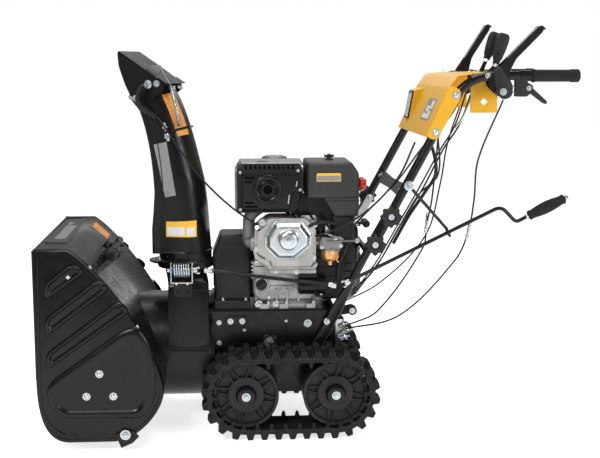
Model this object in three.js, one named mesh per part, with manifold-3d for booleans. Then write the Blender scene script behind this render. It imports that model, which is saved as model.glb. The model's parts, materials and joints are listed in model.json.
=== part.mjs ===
// Two-stage snow blower on rubber tracks, as an assembly of separate parts.
// Millimetres. -X is the front (auger), +X the rear (operator), -Y the operator's left, +Z up.
// The origin is on the ground in the middle of the machine's length and width. The dimensions below
// are measured from a working point midway between the track wheels, and the whole is moved at the end.

import * as THREE from 'three';
import { mergeVertices } from 'three/addons/utils/BufferGeometryUtils.js';
import Module from 'manifold-3d';

const wasm = await Module();
wasm.setup();

// ---------------------------------------------------------------- driving dimensions
const SHEET = 3;                 // welded sheet metal
const GAP = 0.5;                 // air between neighbouring parts

const CLEARING_HALF = 350;       // half of the clearing width
const AUGER_X = -539;
const AUGER_Z = 183;
const AUGER_RADIUS = 140;
const SHAFT_RADIUS = 12;
const WORM_OFFSET = 42;          // impeller shaft above auger shaft
const IMPELLER_Z = AUGER_Z + WORM_OFFSET;
const DRUM_RADIUS = 160;
const DRUM_REAR = -228;

const CHUTE_X = -304;
const CHUTE_Y = -74;
const NECK_RADIUS = 60;
const NECK_TOP = 484;
const RING_RADIUS = 84;          // turning ring and the flange under it
const CHUTE_RADIUS = 78;
const CHUTE_HALF = 74;           // half width of the flat-sided upper chute
const CHUTE_TURN = -18;          // degrees, as it stands at rest
const HINGE = [-44, 1017];       // deflector hinge, in the chute's own x and z

const WORM_Y = -190;
const WORM_Z = 485;
const WORM_RADIUS = 23;
const CRANK_ROD_RADIUS = 6.5;
const FRONT_JOINT = [-248, -190, 486];
const REAR_JOINT = [141, -250, 445];
const CRANK_ELBOW = [606, -256, 673];

const WHEEL_X = 130;
const WHEEL_Z = 130.5;
const WHEEL_RADIUS = 90;
const TRACK_Y = 225;             // middle of each track
const TRACK_HALF = 66;
const TRACK_BASE = 112;          // outer radius of the belt between lugs
const TRACK_LUG = 130;           // outer radius over the lugs
const LUG_COUNT = 30;
const MIDDLE_X = 58;             // middle of the length, behind the working point
const TREAD_Z = WHEEL_Z - TRACK_LUG;

const FRAME_FRONT = -227;
const FRAME_REAR = 143;
const FRAME_HALF = 130;
const FRAME_BOTTOM = 98;
const DECK_Z = 351;
const COVER_FRONT = -216;
const COVER_HALF = 118;
const HEX_X = -56;
const HEX_Z = 253;
const FRICTION_RADIUS = 61.5;
const CHAIN_Y = 100;

const CRANK_Z = 458;             // engine crankshaft height
const AUGER_BELT_X = -198;
const DRIVE_BELT_X = -168;

const TUBE_Y = 234;              // upper handle tubes
const TUBE_RADIUS = 13;
const LEG_RADIUS = 12;
const LEG_Y = 208.5;
const BAR_Z = 1044;              // height of the handlebar
const BAR_END = 820;

const CONSOLE_HALF = 250;
const CLUTCH_PIVOT = [602, 999];
const LEFT_CLUTCH_REST = 45.6;   // degrees above level
const RIGHT_CLUTCH_REST = 58;
const TRIGGER_PIVOT = [680, 1009];
const SHIFT_PIVOT = [580, 1000];

// ---------------------------------------------------------------- finishes
function finish(color, roughness, metalness) {
  return new THREE.MeshStandardMaterial({ color, roughness, metalness });
}

const blackPaint = finish(0x1c1c20, 0.4, 0.3);
const darkPlastic = finish(0x35353a, 0.65, 0);
const castAlloy = finish(0xb9b8b6, 0.5, 0.8);
const zinc = finish(0xc9ccd0, 0.3, 0.9);
const steel = finish(0x8b8d90, 0.4, 0.9);
const bronze = finish(0xb08a4a, 0.4, 0.8);
const yellowPaint = finish(0xe0a41c, 0.45, 0.1);
const rubber = finish(0x222224, 0.85, 0);
const redPlastic = finish(0xd02018, 0.4, 0);
const lensPlastic = finish(0xc8ccd0, 0.2, 0);

// ---------------------------------------------------------------- shape helpers
const RAD = Math.PI / 180;
const BASES = {
  x: [new THREE.Vector3(0, 1, 0), new THREE.Vector3(0, 0, 1), new THREE.Vector3(1, 0, 0)],
  y: [new THREE.Vector3(1, 0, 0), new THREE.Vector3(0, 0, 1), new THREE.Vector3(0, -1, 0)],
  z: [new THREE.Vector3(1, 0, 0), new THREE.Vector3(0, 1, 0), new THREE.Vector3(0, 0, 1)],
};

// Position-only copy with shared vertices and its faces pointing out.
function tidied(geometry) {
  const copy = geometry.clone();
  copy.deleteAttribute('normal');
  copy.deleteAttribute('uv');
  const merged = mergeVertices(copy, 1e-4);
  const { array } = merged.index;
  const corner = [0, 1, 2].map(() => new THREE.Vector3());
  let volume = 0;
  for (let i = 0; i < array.length; i += 3) {
    corner.forEach((point, k) => point.fromBufferAttribute(merged.attributes.position, array[i + k]));
    volume += corner[0].dot(corner[1].clone().cross(corner[2]));
  }
  if (volume < 0) {
    for (let i = 0; i < array.length; i += 3) {
      [array[i], array[i + 1]] = [array[i + 1], array[i]];
    }
  }
  return merged;
}

function toSolid(shape) {
  if (!shape.isBufferGeometry) return shape;
  const geometry = tidied(shape);
  const vertProperties = new Float32Array(geometry.attributes.position.array);
  const triVerts = new Uint32Array(geometry.index.array);
  return new wasm.Manifold(new wasm.Mesh({ numProp: 3, vertProperties, triVerts }));
}

function toGeometry(shape) {
  if (shape.isBufferGeometry) {
    const geometry = tidied(shape);
    geometry.computeVertexNormals();
    return geometry;
  }
  const mesh = shape.getMesh();
  const geometry = new THREE.BufferGeometry();
  geometry.setAttribute('position', new THREE.BufferAttribute(mesh.vertProperties, 3));
  geometry.setIndex(new THREE.BufferAttribute(mesh.triVerts, 1));
  geometry.computeVertexNormals();
  return geometry;
}

function join(...shapes) {
  return shapes.map(toSolid).reduce((whole, next) => whole.add(next));
}

function cut(base, ...tools) {
  return tools.map(toSolid).reduce((left, tool) => left.subtract(tool), toSolid(base));
}

function box(x0, x1, y0, y1, z0, z1) {
  const geometry = new THREE.BoxGeometry(x1 - x0, y1 - y0, z1 - z0);
  return geometry.translate((x0 + x1) / 2, (y0 + y1) / 2, (z0 + z1) / 2);
}

// Turns a shape drawn in its own x, y and swept along z so that it is swept along a named axis.
function orient(geometry, axis, from, to) {
  const [u, v, w] = BASES[axis];
  geometry.applyMatrix4(new THREE.Matrix4().makeBasis(u, v, w));
  const start = axis === 'y' ? to : from;
  return geometry.translate(axis === 'x' ? start : 0, axis === 'y' ? start : 0, axis === 'z' ? start : 0);
}

// Plate with a flat outline, from one height to another along an axis.
// The outline is (y, z) for axis x, (x, z) for axis y and (x, y) for axis z.
function plate(axis, outline, from, to) {
  const points = outline instanceof THREE.Shape ? null : outline.map(([a, b]) => new THREE.Vector2(a, b));
  const shape = points ? new THREE.Shape(points) : outline;
  const options = { depth: to - from, bevelEnabled: false, curveSegments: 10 };
  return orient(new THREE.ExtrudeGeometry(shape, options), axis, from, to);
}

function circle([a, b], radius, sides, turn = 0) {
  return Array.from({ length: sides }, (_, i) => {
    const angle = (2 * Math.PI * (i + 0.5)) / sides + turn;
    return [a + radius * Math.cos(angle), b + radius * Math.sin(angle)];
  });
}

function rod(axis, radius, from, to, centre, sides = 12) {
  return plate(axis, circle(centre, radius, sides), from, to);
}

// Solid of revolution about an axis through centre. The profile is a list of [radius, height].
function turned(axis, profile, centre, sides = 16) {
  const points = profile.map(([radius, height]) => new THREE.Vector2(radius, height));
  const geometry = new THREE.LatheGeometry([...points, points[0]], sides);
  if (axis === 'x') {
    return geometry.rotateZ(-Math.PI / 2).translate(0, centre[0], centre[1]);
  }
  if (axis === 'y') {
    return geometry.translate(centre[0], 0, centre[1]);
  }
  return geometry.rotateX(Math.PI / 2).translate(centre[0], centre[1], 0);
}

// A path through listed points, sampled exactly at them, with mitred directions.
class Route extends THREE.Curve {
  constructor(points) {
    super();
    this.points = points.map((point) => new THREE.Vector3(...point));
  }

  getPoint(t) {
    const place = t * (this.points.length - 1);
    const index = Math.min(Math.floor(place), this.points.length - 2);
    return this.points[index].clone().lerp(this.points[index + 1], place - index);
  }

  getPointAt(u) {
    return this.getPoint(u);
  }

  getTangentAt(u) {
    const last = this.points.length - 1;
    const index = Math.round(u * last);
    const sum = new THREE.Vector3();
    if (index > 0) {
      sum.add(this.points[index].clone().sub(this.points[index - 1]).normalize());
    }
    if (index < last) {
      sum.add(this.points[index + 1].clone().sub(this.points[index]).normalize());
    }
    return sum.normalize();
  }
}

// Adds a rounded bend at each inner corner of a path.
function bent(corners, radius, steps = 5) {
  const points = corners.map((corner) => new THREE.Vector3(...corner));
  const path = [points[0]];
  for (let i = 1; i < points.length - 1; i += 1) {
    const before = points[i].clone().sub(points[i - 1]);
    const after = points[i + 1].clone().sub(points[i]);
    const reach = Math.min(radius, before.length() * 0.45, after.length() * 0.45);
    const start = points[i].clone().sub(before.setLength(reach));
    const end = points[i].clone().add(after.setLength(reach));
    const bend = new THREE.QuadraticBezierCurve3(start, points[i], end);
    path.push(...bend.getPoints(steps));
  }
  path.push(points[points.length - 1]);
  return path.map((point) => point.toArray());
}

function tube(points, radius, sides = 8) {
  const section = new THREE.Shape(circle([0, 0], radius, sides).map(([a, b]) => new THREE.Vector2(a, b)));
  const extrudePath = new Route(points);
  const steps = points.length - 1;
  return new THREE.ExtrudeGeometry(section, { extrudePath, steps, bevelEnabled: false });
}

// Thin sheet outline that follows a line of points, with its thickness to the right of travel.
function strip(points, thickness) {
  const offset = points.map(([a, b], i) => {
    const [c, d] = points[Math.max(i - 1, 0)];
    const [e, f] = points[Math.min(i + 1, points.length - 1)];
    const length = Math.hypot(e - c, f - d);
    return [a + (thickness * (f - d)) / length, b - (thickness * (e - c)) / length];
  });
  return [...points, ...offset.reverse()];
}

// Outline of a belt run round two circles that share no centre.
function loop([a, b], radiusA, [c, d], radiusB, steps = 8) {
  const heading = Math.atan2(d - b, c - a);
  const lean = Math.acos((radiusA - radiusB) / Math.hypot(c - a, d - b));
  const points = [];
  for (let i = 0; i <= steps; i += 1) {
    const angle = heading + lean + ((2 * Math.PI - 2 * lean) * i) / steps;
    points.push([a + radiusA * Math.cos(angle), b + radiusA * Math.sin(angle)]);
  }
  for (let i = 0; i <= steps; i += 1) {
    const angle = heading - lean + (2 * lean * i) / steps;
    points.push([c + radiusB * Math.cos(angle), d + radiusB * Math.sin(angle)]);
  }
  return points;
}

function belt(axis, from, to, centreA, radiusA, centreB, radiusB, thickness) {
  const clear = 1.03;            // keeps the flats of the inner outline outside the pulleys
  const [innerA, innerB] = [radiusA * clear, radiusB * clear];
  const outside = plate(axis, loop(centreA, innerA + thickness, centreB, innerB + thickness), from, to);
  const inside = plate(axis, loop(centreA, innerA, centreB, innerB), from - 1, to + 1);
  return cut(outside, inside);
}

function mirrored(points) {
  return points.map(([x, y, z]) => [x, -y, z]);
}

const machine = new THREE.Group();

function add(name, material, shape, group = machine) {
  const mesh = new THREE.Mesh(toGeometry(shape), material);
  mesh.name = name;
  group.add(mesh);
  return mesh;
}

// ---------------------------------------------------------------- auger housing
function housingOutline(inset) {
  const front = inset > 0 ? -760 : -712;
  const top = 573 - inset;
  const bottom = 29 + inset;
  const back = -363 - inset;
  const shape = new THREE.Shape();
  shape.moveTo(front, top);
  shape.lineTo(-618, top);
  shape.bezierCurveTo(-535 - inset, 520 - inset, -372 - inset, 300, back, 171);
  shape.bezierCurveTo(back, 115, -430, 34 + inset, -500, bottom);
  shape.lineTo(-624, bottom);
  if (inset > 0) {
    shape.lineTo(front, bottom);
  } else {
    shape.bezierCurveTo(-690, bottom, front, 100, front, 213);
  }
  return shape;
}

function augerHousing() {
  const bucket = plate('y', housingOutline(0), -CLEARING_HALF, CLEARING_HALF);
  const drum = rod('x', DRUM_RADIUS, -450, DRUM_REAR, [0, IMPELLER_Z], 32);
  const neck = rod('z', NECK_RADIUS, IMPELLER_Z, NECK_TOP, [CHUTE_X, CHUTE_Y], 20);
  const flange = rod('z', RING_RADIUS, NECK_TOP - 4, NECK_TOP, [CHUTE_X, CHUTE_Y], 24);
  const inner = CLEARING_HALF - SHEET;
  return cut(
    join(bucket, drum, neck, flange),
    plate('y', housingOutline(SHEET), -inner, inner),
    rod('x', DRUM_RADIUS - SHEET, -460, DRUM_REAR - SHEET, [0, IMPELLER_Z], 32),
    rod('z', NECK_RADIUS - SHEET, IMPELLER_Z, NECK_TOP + 1, [CHUTE_X, CHUTE_Y], 20),
    rod('x', SHAFT_RADIUS + 2, DRUM_REAR - 10, DRUM_REAR + 1, [0, IMPELLER_Z]),
  );
}

const FOOT_PAD = [[-498, 50], [-482, 12], [-450, 26], [-432, 44], [-443, 57], [-470, 66]];

// Foot plate at the lower rear corner of a side plate, with a sole turned in under the housing.
function skidShoe(side) {
  const outer = side * (CLEARING_HALF + GAP);
  const face = [outer, outer + side * 4].sort((a, b) => a - b);
  const sole = [outer + side * 4, outer - side * 50].sort((a, b) => a - b);
  return join(
    plate('y', FOOT_PAD, face[0], face[1]),
    plate('y', strip([[-482, 12], [-450, 26]].reverse(), 4), sole[0], sole[1]),
  );
}

add('auger_housing', blackPaint, augerHousing());
add('scraper_bar', steel, box(-652, -590, -346, 346, 32.5, 37));
add('left_skid_shoe', blackPaint, skidShoe(-1));
add('right_skid_shoe', blackPaint, skidShoe(1));

// Stick for clearing the chute, held by a clip on the housing's sloping back.
function cleanOutTool() {
  const axis = [-522, 518];
  const slope = 49 * RAD;
  const standOff = 24.7;
  const foot = [axis[0] - standOff * Math.sin(slope), axis[1] - standOff * Math.cos(slope)];
  const onSlope = (shape) => shape.rotateY(slope).translate(foot[0], 0, foot[1]);
  return join(
    rod('y', 9, -110, 190, axis),
    rod('y', 15, -112, -94, axis),
    rod('y', 17, -70, -58, axis),
    onSlope(box(-24, 24, 60, 130, 2.5, 6)),
    onSlope(box(-12, 12, 80, 110, 5, 26)),
  );
}

add('clean_out_tool', darkPlastic, cleanOutTool());

// ---------------------------------------------------------------- augers, gearbox and impeller
class Helix extends THREE.Curve {
  constructor(radius, from, to, turns, start) {
    super();
    Object.assign(this, { radius, from, to, turns, start });
  }

  angle(u) {
    return this.start + 2 * Math.PI * this.turns * u;
  }

  getPointAt(u) {
    const angle = this.angle(u);
    const y = this.from + (this.to - this.from) * u;
    return new THREE.Vector3(
      AUGER_X + this.radius * Math.cos(angle), y, AUGER_Z + this.radius * Math.sin(angle),
    );
  }

  // Frames that keep the ribbon's width pointing away from the shaft.
  computeFrenetFrames(segments) {
    const frames = { tangents: [], normals: [], binormals: [] };
    for (let i = 0; i <= segments; i += 1) {
      const angle = this.angle(i / segments);
      const normal = new THREE.Vector3(Math.cos(angle), 0, Math.sin(angle));
      const sweep = 2 * Math.PI * this.turns * this.radius;
      const tangent = new THREE.Vector3(-Math.sin(angle) * sweep, this.to - this.from,
        Math.cos(angle) * sweep);
      tangent.normalize();
      frames.tangents.push(tangent);
      frames.normals.push(normal);
      frames.binormals.push(tangent.clone().cross(normal));
    }
    return frames;
  }
}

const RIBBON_RADIUS = 122;
const RIBBON_WIDTH = 34;
const RIBBON_STEPS = 12;

function auger(side) {
  const from = side * 60;
  const to = side * 330;
  const hub = turned('y', [[12.5, side * 48], [17, side * 48], [17, side * 336], [12.5, side * 336]],
    [AUGER_X, AUGER_Z], 12);
  const section = new THREE.Shape([
    new THREE.Vector2(-RIBBON_WIDTH / 2, -2), new THREE.Vector2(RIBBON_WIDTH / 2, -2),
    new THREE.Vector2(RIBBON_WIDTH / 2, 2), new THREE.Vector2(-RIBBON_WIDTH / 2, 2),
  ]);
  const parts = [hub];
  for (const start of [0, Math.PI]) {
    const extrudePath = new Helix(RIBBON_RADIUS, from, to, -side * 0.8, start);
    const settings = { extrudePath, steps: RIBBON_STEPS, bevelEnabled: false };
    parts.push(new THREE.ExtrudeGeometry(section, settings));
    for (const share of [0.1, 0.5, 0.9]) {
      const angle = extrudePath.angle(share);
      const y = from + (to - from) * share;
      const reach = (radius) => [AUGER_X + radius * Math.cos(angle), y,
        AUGER_Z + radius * Math.sin(angle)];
      parts.push(tube([reach(14.5), reach(RIBBON_RADIUS - 12)], 7, 6));
    }
  }
  return join(...parts);
}

add('auger_shaft', steel, join(
  rod('y', SHAFT_RADIUS, -346, 346, [AUGER_X, AUGER_Z]),
  rod('y', WORM_OFFSET - SHAFT_RADIUS - GAP, -11, 11, [AUGER_X, AUGER_Z], 24),
));
add('left_auger', blackPaint, auger(-1));
add('right_auger', blackPaint, auger(1));

add('gearbox_case', castAlloy, cut(
  join(
    rod('y', 44, -30, 30, [AUGER_X, AUGER_Z], 24),
    rod('x', 24, -604, -470, [0, IMPELLER_Z], 20),
  ),
  rod('y', 38, -24, 24, [AUGER_X, AUGER_Z], 24),
  rod('x', SHAFT_RADIUS + GAP, -598, -460, [0, IMPELLER_Z]),
  rod('y', SHAFT_RADIUS + GAP, -40, 40, [AUGER_X, AUGER_Z]),
));

const PULLEY_GROOVE = 72;

function pulley(x, rim, groove, bore) {
  return turned('x', [
    [bore, x - 9], [rim, x - 9], [rim, x - 6], [groove, x - 5],
    [groove, x + 5], [rim, x + 6], [rim, x + 9], [bore, x + 9],
  ], [0, 0], 16);
}

function impeller() {
  const hub = turned('x', [[12.5, -392], [24, -392], [24, -266], [12.5, -266]], [0, IMPELLER_Z], 12);
  const blades = [0, 1, 2, 3].map((i) => box(-392, -264, -2.5, 2.5, 20, 150)
    .rotateX((i * Math.PI) / 2 + 0.4).translate(0, 0, IMPELLER_Z));
  return join(hub, ...blades);
}

add('impeller', blackPaint, impeller());
add('impeller_shaft', steel, join(
  rod('x', SHAFT_RADIUS, -592, -186, [0, IMPELLER_Z]),
  pulley(AUGER_BELT_X, 80, PULLEY_GROOVE, 6).translate(0, 0, IMPELLER_Z),
));

// ---------------------------------------------------------------- chute and deflector
const chuteGroup = new THREE.Group();
chuteGroup.position.set(CHUTE_X, CHUTE_Y, 0);
chuteGroup.rotation.z = CHUTE_TURN * RAD;
machine.add(chuteGroup);

const BOX_BOTTOM = 597;          // where the round foot meets the flat-sided channel

// Side view of the channel: up the front edge, over the lip, and down the curved back.
function chuteOutline(inset) {
  const shape = new THREE.Shape();
  const front = inset > 0 ? -200 : 0;
  shape.moveTo(-76 + front, BOX_BOTTOM + inset);
  shape.lineTo(-66 + front, 707);
  shape.quadraticCurveTo(-72 + front, 850, -107 + front, 943);
  shape.lineTo(-140 + front, 983 + (inset > 0 ? 60 : 0));
  shape.lineTo(-40 - inset, 1017 + (inset > 0 ? 60 : 0));
  shape.lineTo(-40 - inset, 1016 - inset);
  shape.bezierCurveTo(20 - inset, 968, 66 - inset, 880, 83 - inset, 740);
  shape.lineTo(80 - inset, BOX_BOTTOM + inset);
  return shape;
}

function chute() {
  const wall = CHUTE_HALF - SHEET;
  return cut(
    join(
      rod('z', RING_RADIUS, NECK_TOP + GAP, 497, [0, 0], 24),
      rod('z', CHUTE_RADIUS, 496, BOX_BOTTOM + SHEET, [0, 0], 24),
      plate('y', chuteOutline(0), -CHUTE_HALF, CHUTE_HALF),
    ),
    rod('z', CHUTE_RADIUS - SHEET, 494, BOX_BOTTOM + 2 * SHEET, [0, 0], 24),
    rod('z', NECK_RADIUS, NECK_TOP, 496, [0, 0], 24),
    plate('y', chuteOutline(SHEET), -wall, wall),
  );
}

// Cap over the chute's mouth: a top sheet between two cheeks outside the chute's sides.
function deflector() {
  const inside = CHUTE_HALF + 1;
  const outside = inside + 2.5;
  const cheek = [
    [-30, 1004], [-34, 1024], [-50, 1036], [-166, 1114], [-171, 1108], [-168, 1071], [-122, 962],
    [-102, 945],
  ];
  return join(
    plate('y', cheek, -outside, -inside),
    plate('y', cheek, inside, outside),
    plate('y', strip([[-50, 1036], [-166, 1114]].reverse(), 2.5), -outside, outside),
  );
}

add('chute', blackPaint, chute(), chuteGroup);
add('chute_deflector', blackPaint, deflector(), chuteGroup);

// ---------------------------------------------------------------- chute worm and crank
function wormBracket() {
  const ear = [[-212, 453], [-169, 453], [-169, 497], [-181, 511], [-199, 511], [-212, 497]];
  const hole = rod('x', 7, -350, -275, [WORM_Y, WORM_Z]);
  return cut(join(
    box(-344, -280, -214, -135, 451, 455),
    plate('x', ear, -344, -341),
    plate('x', ear, -283, -280),
  ), hole);
}

function chuteWorm() {
  const threads = 6;
  const pitch = 8;
  const first = -336;
  const profile = [[0, -354], [6, -354], [6, first]];
  for (let i = 0; i < threads; i += 1) {
    const start = first + i * pitch;
    profile.push([14, start], [WORM_RADIUS, start + 2], [WORM_RADIUS, start + 5], [14, start + pitch]);
  }
  profile.push([6, first + threads * pitch], [6, -272], [9, -272], [9, -262], [0, -262]);
  return turned('x', profile, [WORM_Y, WORM_Z], 10);
}

function along(from, to, distance) {
  const start = new THREE.Vector3(...from);
  const heading = new THREE.Vector3(...to).sub(start).normalize();
  return start.addScaledVector(heading, distance).toArray();
}

function ball([x, y, z], radius) {
  return new THREE.SphereGeometry(radius, 8, 6).translate(x, y, z);
}

const CRANK_LOW = [650, -258, 626];
const SPINDLE_START = [676, -258, 640];
const SPINDLE_END = [800, -258, 699];

function frontCrankRod() {
  const start = along(FRONT_JOINT, REAR_JOINT, 5);
  const end = along(REAR_JOINT, FRONT_JOINT, 12);
  return join(tube([start, end], CRANK_ROD_RADIUS), ball(start, 9), ball(end, 9));
}

function crankRod() {
  const start = along(REAR_JOINT, CRANK_ELBOW, 12);
  const path = bent([start, CRANK_ELBOW, CRANK_LOW, SPINDLE_START, SPINDLE_END], 18);
  return join(tube(path, CRANK_ROD_RADIUS), ball(start, 9));
}

// Turns a solid of revolution about z so that its axis runs from one point towards another.
function aimed(geometry, from, to) {
  const heading = new THREE.Vector3(...to).sub(new THREE.Vector3(...from)).normalize();
  const turn = new THREE.Quaternion().setFromUnitVectors(new THREE.Vector3(0, 0, 1), heading);
  return geometry.applyQuaternion(turn).translate(...from);
}

function crankGrip() {
  const bore = CRANK_ROD_RADIUS + GAP;
  const profile = [[bore, 14], [12, 14], [15, 22], [16, 60], [15.5, 100], [13, 118], [bore, 118]];
  return aimed(turned('z', profile, [0, 0], 12), SPINDLE_START, SPINDLE_END);
}

// Arm from a bolt on the handle down to an eye that guides the crank rod.
function supportArm() {
  const eye = along(REAR_JOINT, CRANK_ELBOW, 356);
  const ring = aimed(new THREE.TorusGeometry(13, 4, 6, 12), eye, along(eye, CRANK_ELBOW, 1));
  const top = [336, -255, 736];
  const foot = [eye[0] - 5.5, eye[1], eye[2] + 12];
  const clampPin = rod('y', 9, -262, -TUBE_Y - TUBE_RADIUS - GAP, [336, 736], 12);
  return join(tube([foot, top], 5, 10), ring, clampPin);
}

add('worm_bracket', zinc, wormBracket());
add('chute_worm', zinc, chuteWorm());
add('front_crank_rod', blackPaint, frontCrankRod());
add('crank_rod', blackPaint, crankRod());
add('crank_grip', rubber, crankGrip());
add('rod_support_arm', blackPaint, supportArm());

// ---------------------------------------------------------------- tractor frame
function tractorFrame() {
  const inner = FRAME_HALF - SHEET;
  const shell = cut(
    box(FRAME_FRONT, FRAME_REAR, -FRAME_HALF, FRAME_HALF, FRAME_BOTTOM, DECK_Z),
    box(FRAME_FRONT + SHEET, FRAME_REAR - SHEET, -inner, inner, FRAME_BOTTOM + SHEET, DECK_Z - SHEET),
    box(-208, -120, -110, 110, DECK_Z - 10, DECK_Z + 1),
  );
  const frontAxle = rod('y', 12, -TRACK_Y - 62, TRACK_Y + 62, [-WHEEL_X, WHEEL_Z]);
  return cut(
    join(shell, frontAxle),
    rod('x', SHAFT_RADIUS + 3, FRAME_FRONT - 1, FRAME_FRONT + 10, [0, IMPELLER_Z]),
    rod('y', 13, -FRAME_HALF - 1, FRAME_HALF + 1, [WHEEL_X, WHEEL_Z]),
    rod('y', 9, -FRAME_HALF - 1, FRAME_HALF + 1, [HEX_X, HEX_Z]),
    box(FRAME_REAR - 4, FRAME_REAR + 1, -115, 115, FRAME_BOTTOM + SHEET, 172),
  );
}

function beltCover() {
  const outline = (inset, foot, rear) => [
    [COVER_FRONT + inset, foot], [COVER_FRONT + inset, 532], [COVER_FRONT + 21 + inset, 589 - inset],
    [rear, 589 - inset], [rear, foot],
  ];
  return cut(
    plate('y', outline(0, DECK_Z + GAP, -112), -COVER_HALF, COVER_HALF),
    plate('y', outline(SHEET, DECK_Z - 10, -100), SHEET - COVER_HALF, COVER_HALF - SHEET),
  );
}

add('tractor_frame', blackPaint, tractorFrame());
add('belt_cover', darkPlastic, beltCover());

// ---------------------------------------------------------------- traction drive
const DISC_FACE = HEX_X - FRICTION_RADIUS - GAP;
const HEX_RADIUS = 10;
const SPROCKET_SMALL = 14;
const SPROCKET_LARGE = 20;

add('drive_disc', castAlloy, join(
  turned('x', [[0, DISC_FACE - 12], [88, DISC_FACE - 12], [88, DISC_FACE], [0, DISC_FACE]],
    [0, HEX_Z], 24),
  rod('x', 11, -178, DISC_FACE - 10, [0, HEX_Z]),
  pulley(DRIVE_BELT_X, 58, 50, 4).translate(0, 0, HEX_Z),
));

function hexShaft() {
  return join(
    plate('y', circle([HEX_X, HEX_Z], HEX_RADIUS, 6), -122, 122),
    rod('y', 8.5, -FRAME_HALF - 6, FRAME_HALF + 6, [HEX_X, HEX_Z], 12),
    rod('y', SPROCKET_SMALL, CHAIN_Y - 3, CHAIN_Y + 3, [HEX_X, HEX_Z], 14),
  );
}

add('hex_shaft', steel, hexShaft());
add('friction_wheel', rubber, cut(
  join(
    rod('y', FRICTION_RADIUS, -7, 7, [HEX_X, HEX_Z], 24),
    rod('y', 22, -20, 20, [HEX_X, HEX_Z]),
  ),
  plate('y', circle([HEX_X, HEX_Z], HEX_RADIUS + GAP, 6), -30, 30),
));
add('drive_axle', steel, join(
  rod('y', 12, -TRACK_Y - 62, TRACK_Y + 62, [WHEEL_X, WHEEL_Z]),
  rod('y', SPROCKET_LARGE, CHAIN_Y - 3, CHAIN_Y + 3, [WHEEL_X, WHEEL_Z], 20),
));
add('drive_chain', steel, belt(
  'y', CHAIN_Y - 4, CHAIN_Y + 4, [HEX_X, HEX_Z], SPROCKET_SMALL + GAP, [WHEEL_X, WHEEL_Z],
    SPROCKET_LARGE + GAP, 7,
));
add('traction_belt', rubber, belt(
  'x', DRIVE_BELT_X - 4, DRIVE_BELT_X + 4, [0, HEX_Z], 50.5, [0, CRANK_Z], 24.5, 7,
));
add('auger_belt', rubber, belt(
  'x', AUGER_BELT_X - 4, AUGER_BELT_X + 4, [0, IMPELLER_Z], PULLEY_GROOVE + GAP, [0, CRANK_Z], 30.5, 7,
));

// ---------------------------------------------------------------- tracks and wheels
function trackWheel(x, side) {
  const outer = 58;
  const profile = [
    [12.5, -outer], [30, -outer], [34, -46], [80, -50], [WHEEL_RADIUS, -outer],
    [WHEEL_RADIUS, outer], [80, outer], [78, 30], [34, 30], [12.5, 40],
  ];
  const points = profile.map(([radius, height]) => [radius, side * TRACK_Y - side * height]);
  return turned('y', points, [x, WHEEL_Z], 20);
}

// Point at a distance s along a loop round both wheels, at a given radius from their centres.
function onTrack(s, radius) {
  const straight = 2 * WHEEL_X;
  const arc = Math.PI * TRACK_BASE;
  const lap = ((s % (2 * straight + 2 * arc)) + 2 * straight + 2 * arc) % (2 * straight + 2 * arc);
  if (lap < straight) {
    return [WHEEL_X - lap, WHEEL_Z + radius];
  }
  if (lap < straight + arc) {
    const angle = Math.PI / 2 + (lap - straight) / TRACK_BASE;
    return [-WHEEL_X + radius * Math.cos(angle), WHEEL_Z + radius * Math.sin(angle)];
  }
  if (lap < 2 * straight + arc) {
    return [-WHEEL_X + (lap - straight - arc), WHEEL_Z - radius];
  }
  const angle = -Math.PI / 2 + (lap - 2 * straight - arc) / TRACK_BASE;
  return [WHEEL_X + radius * Math.cos(angle), WHEEL_Z + radius * Math.sin(angle)];
}

function track(side) {
  const lap = 4 * WHEEL_X + 2 * Math.PI * TRACK_BASE;
  const pitch = lap / LUG_COUNT;
  const outline = [];
  for (let i = 0; i < LUG_COUNT; i += 1) {
    const start = i * pitch;
    outline.push(
      onTrack(start, TRACK_BASE), onTrack(start + pitch * 0.12, TRACK_LUG),
      onTrack(start + pitch * 0.45, TRACK_LUG), onTrack(start + pitch * 0.57, TRACK_BASE),
    );
  }
  const inside = loop([-WHEEL_X, WHEEL_Z], WHEEL_RADIUS + GAP + 0.6, [WHEEL_X, WHEEL_Z],
    WHEEL_RADIUS + GAP + 0.6, 14);
  const [low, high] = [side * TRACK_Y - TRACK_HALF, side * TRACK_Y + TRACK_HALF];
  return cut(plate('y', outline, low, high), plate('y', inside, low - 1, high + 1));
}

for (const [name, side] of [['left', -1], ['right', 1]]) {
  add(`${name}_front_wheel`, darkPlastic, trackWheel(-WHEEL_X, side));
  add(`${name}_rear_wheel`, darkPlastic, trackWheel(WHEEL_X, side));
  add(`${name}_track`, rubber, track(side));
}

// ---------------------------------------------------------------- engine
function crankcase() {
  const head = [
    [-108, 560], [-108, 532], [-64, 508], [-56, 480], [70, 480], [81, 502], [81, 615], [40, 640],
    [-60, 640], [-108, 605],
  ];
  return cut(
    join(
      box(-66, 85, -112, 112, DECK_Z + GAP, 371),
      box(-107, 100, -98, 125, 370, 530),
      plate('y', head, -205, -60),
    ),
    rod('x', 15 + GAP, -110, 105, [0, CRANK_Z]),
  );
}

function valveCover() {
  const pan = [
    [-48, 634], [38, 634], [58, 612], [66, 570], [52, 538], [20, 516], [-28, 516], [-62, 540],
    [-72, 572], [-66, 610],
  ];
  const dome = turned('y', [[0, -258], [20, -258], [30, -252], [44, -240], [44, -230], [0, -230]],
    [-5, 582]);
  return join(plate('y', pan, -242, -205 - GAP), dome);
}

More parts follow.
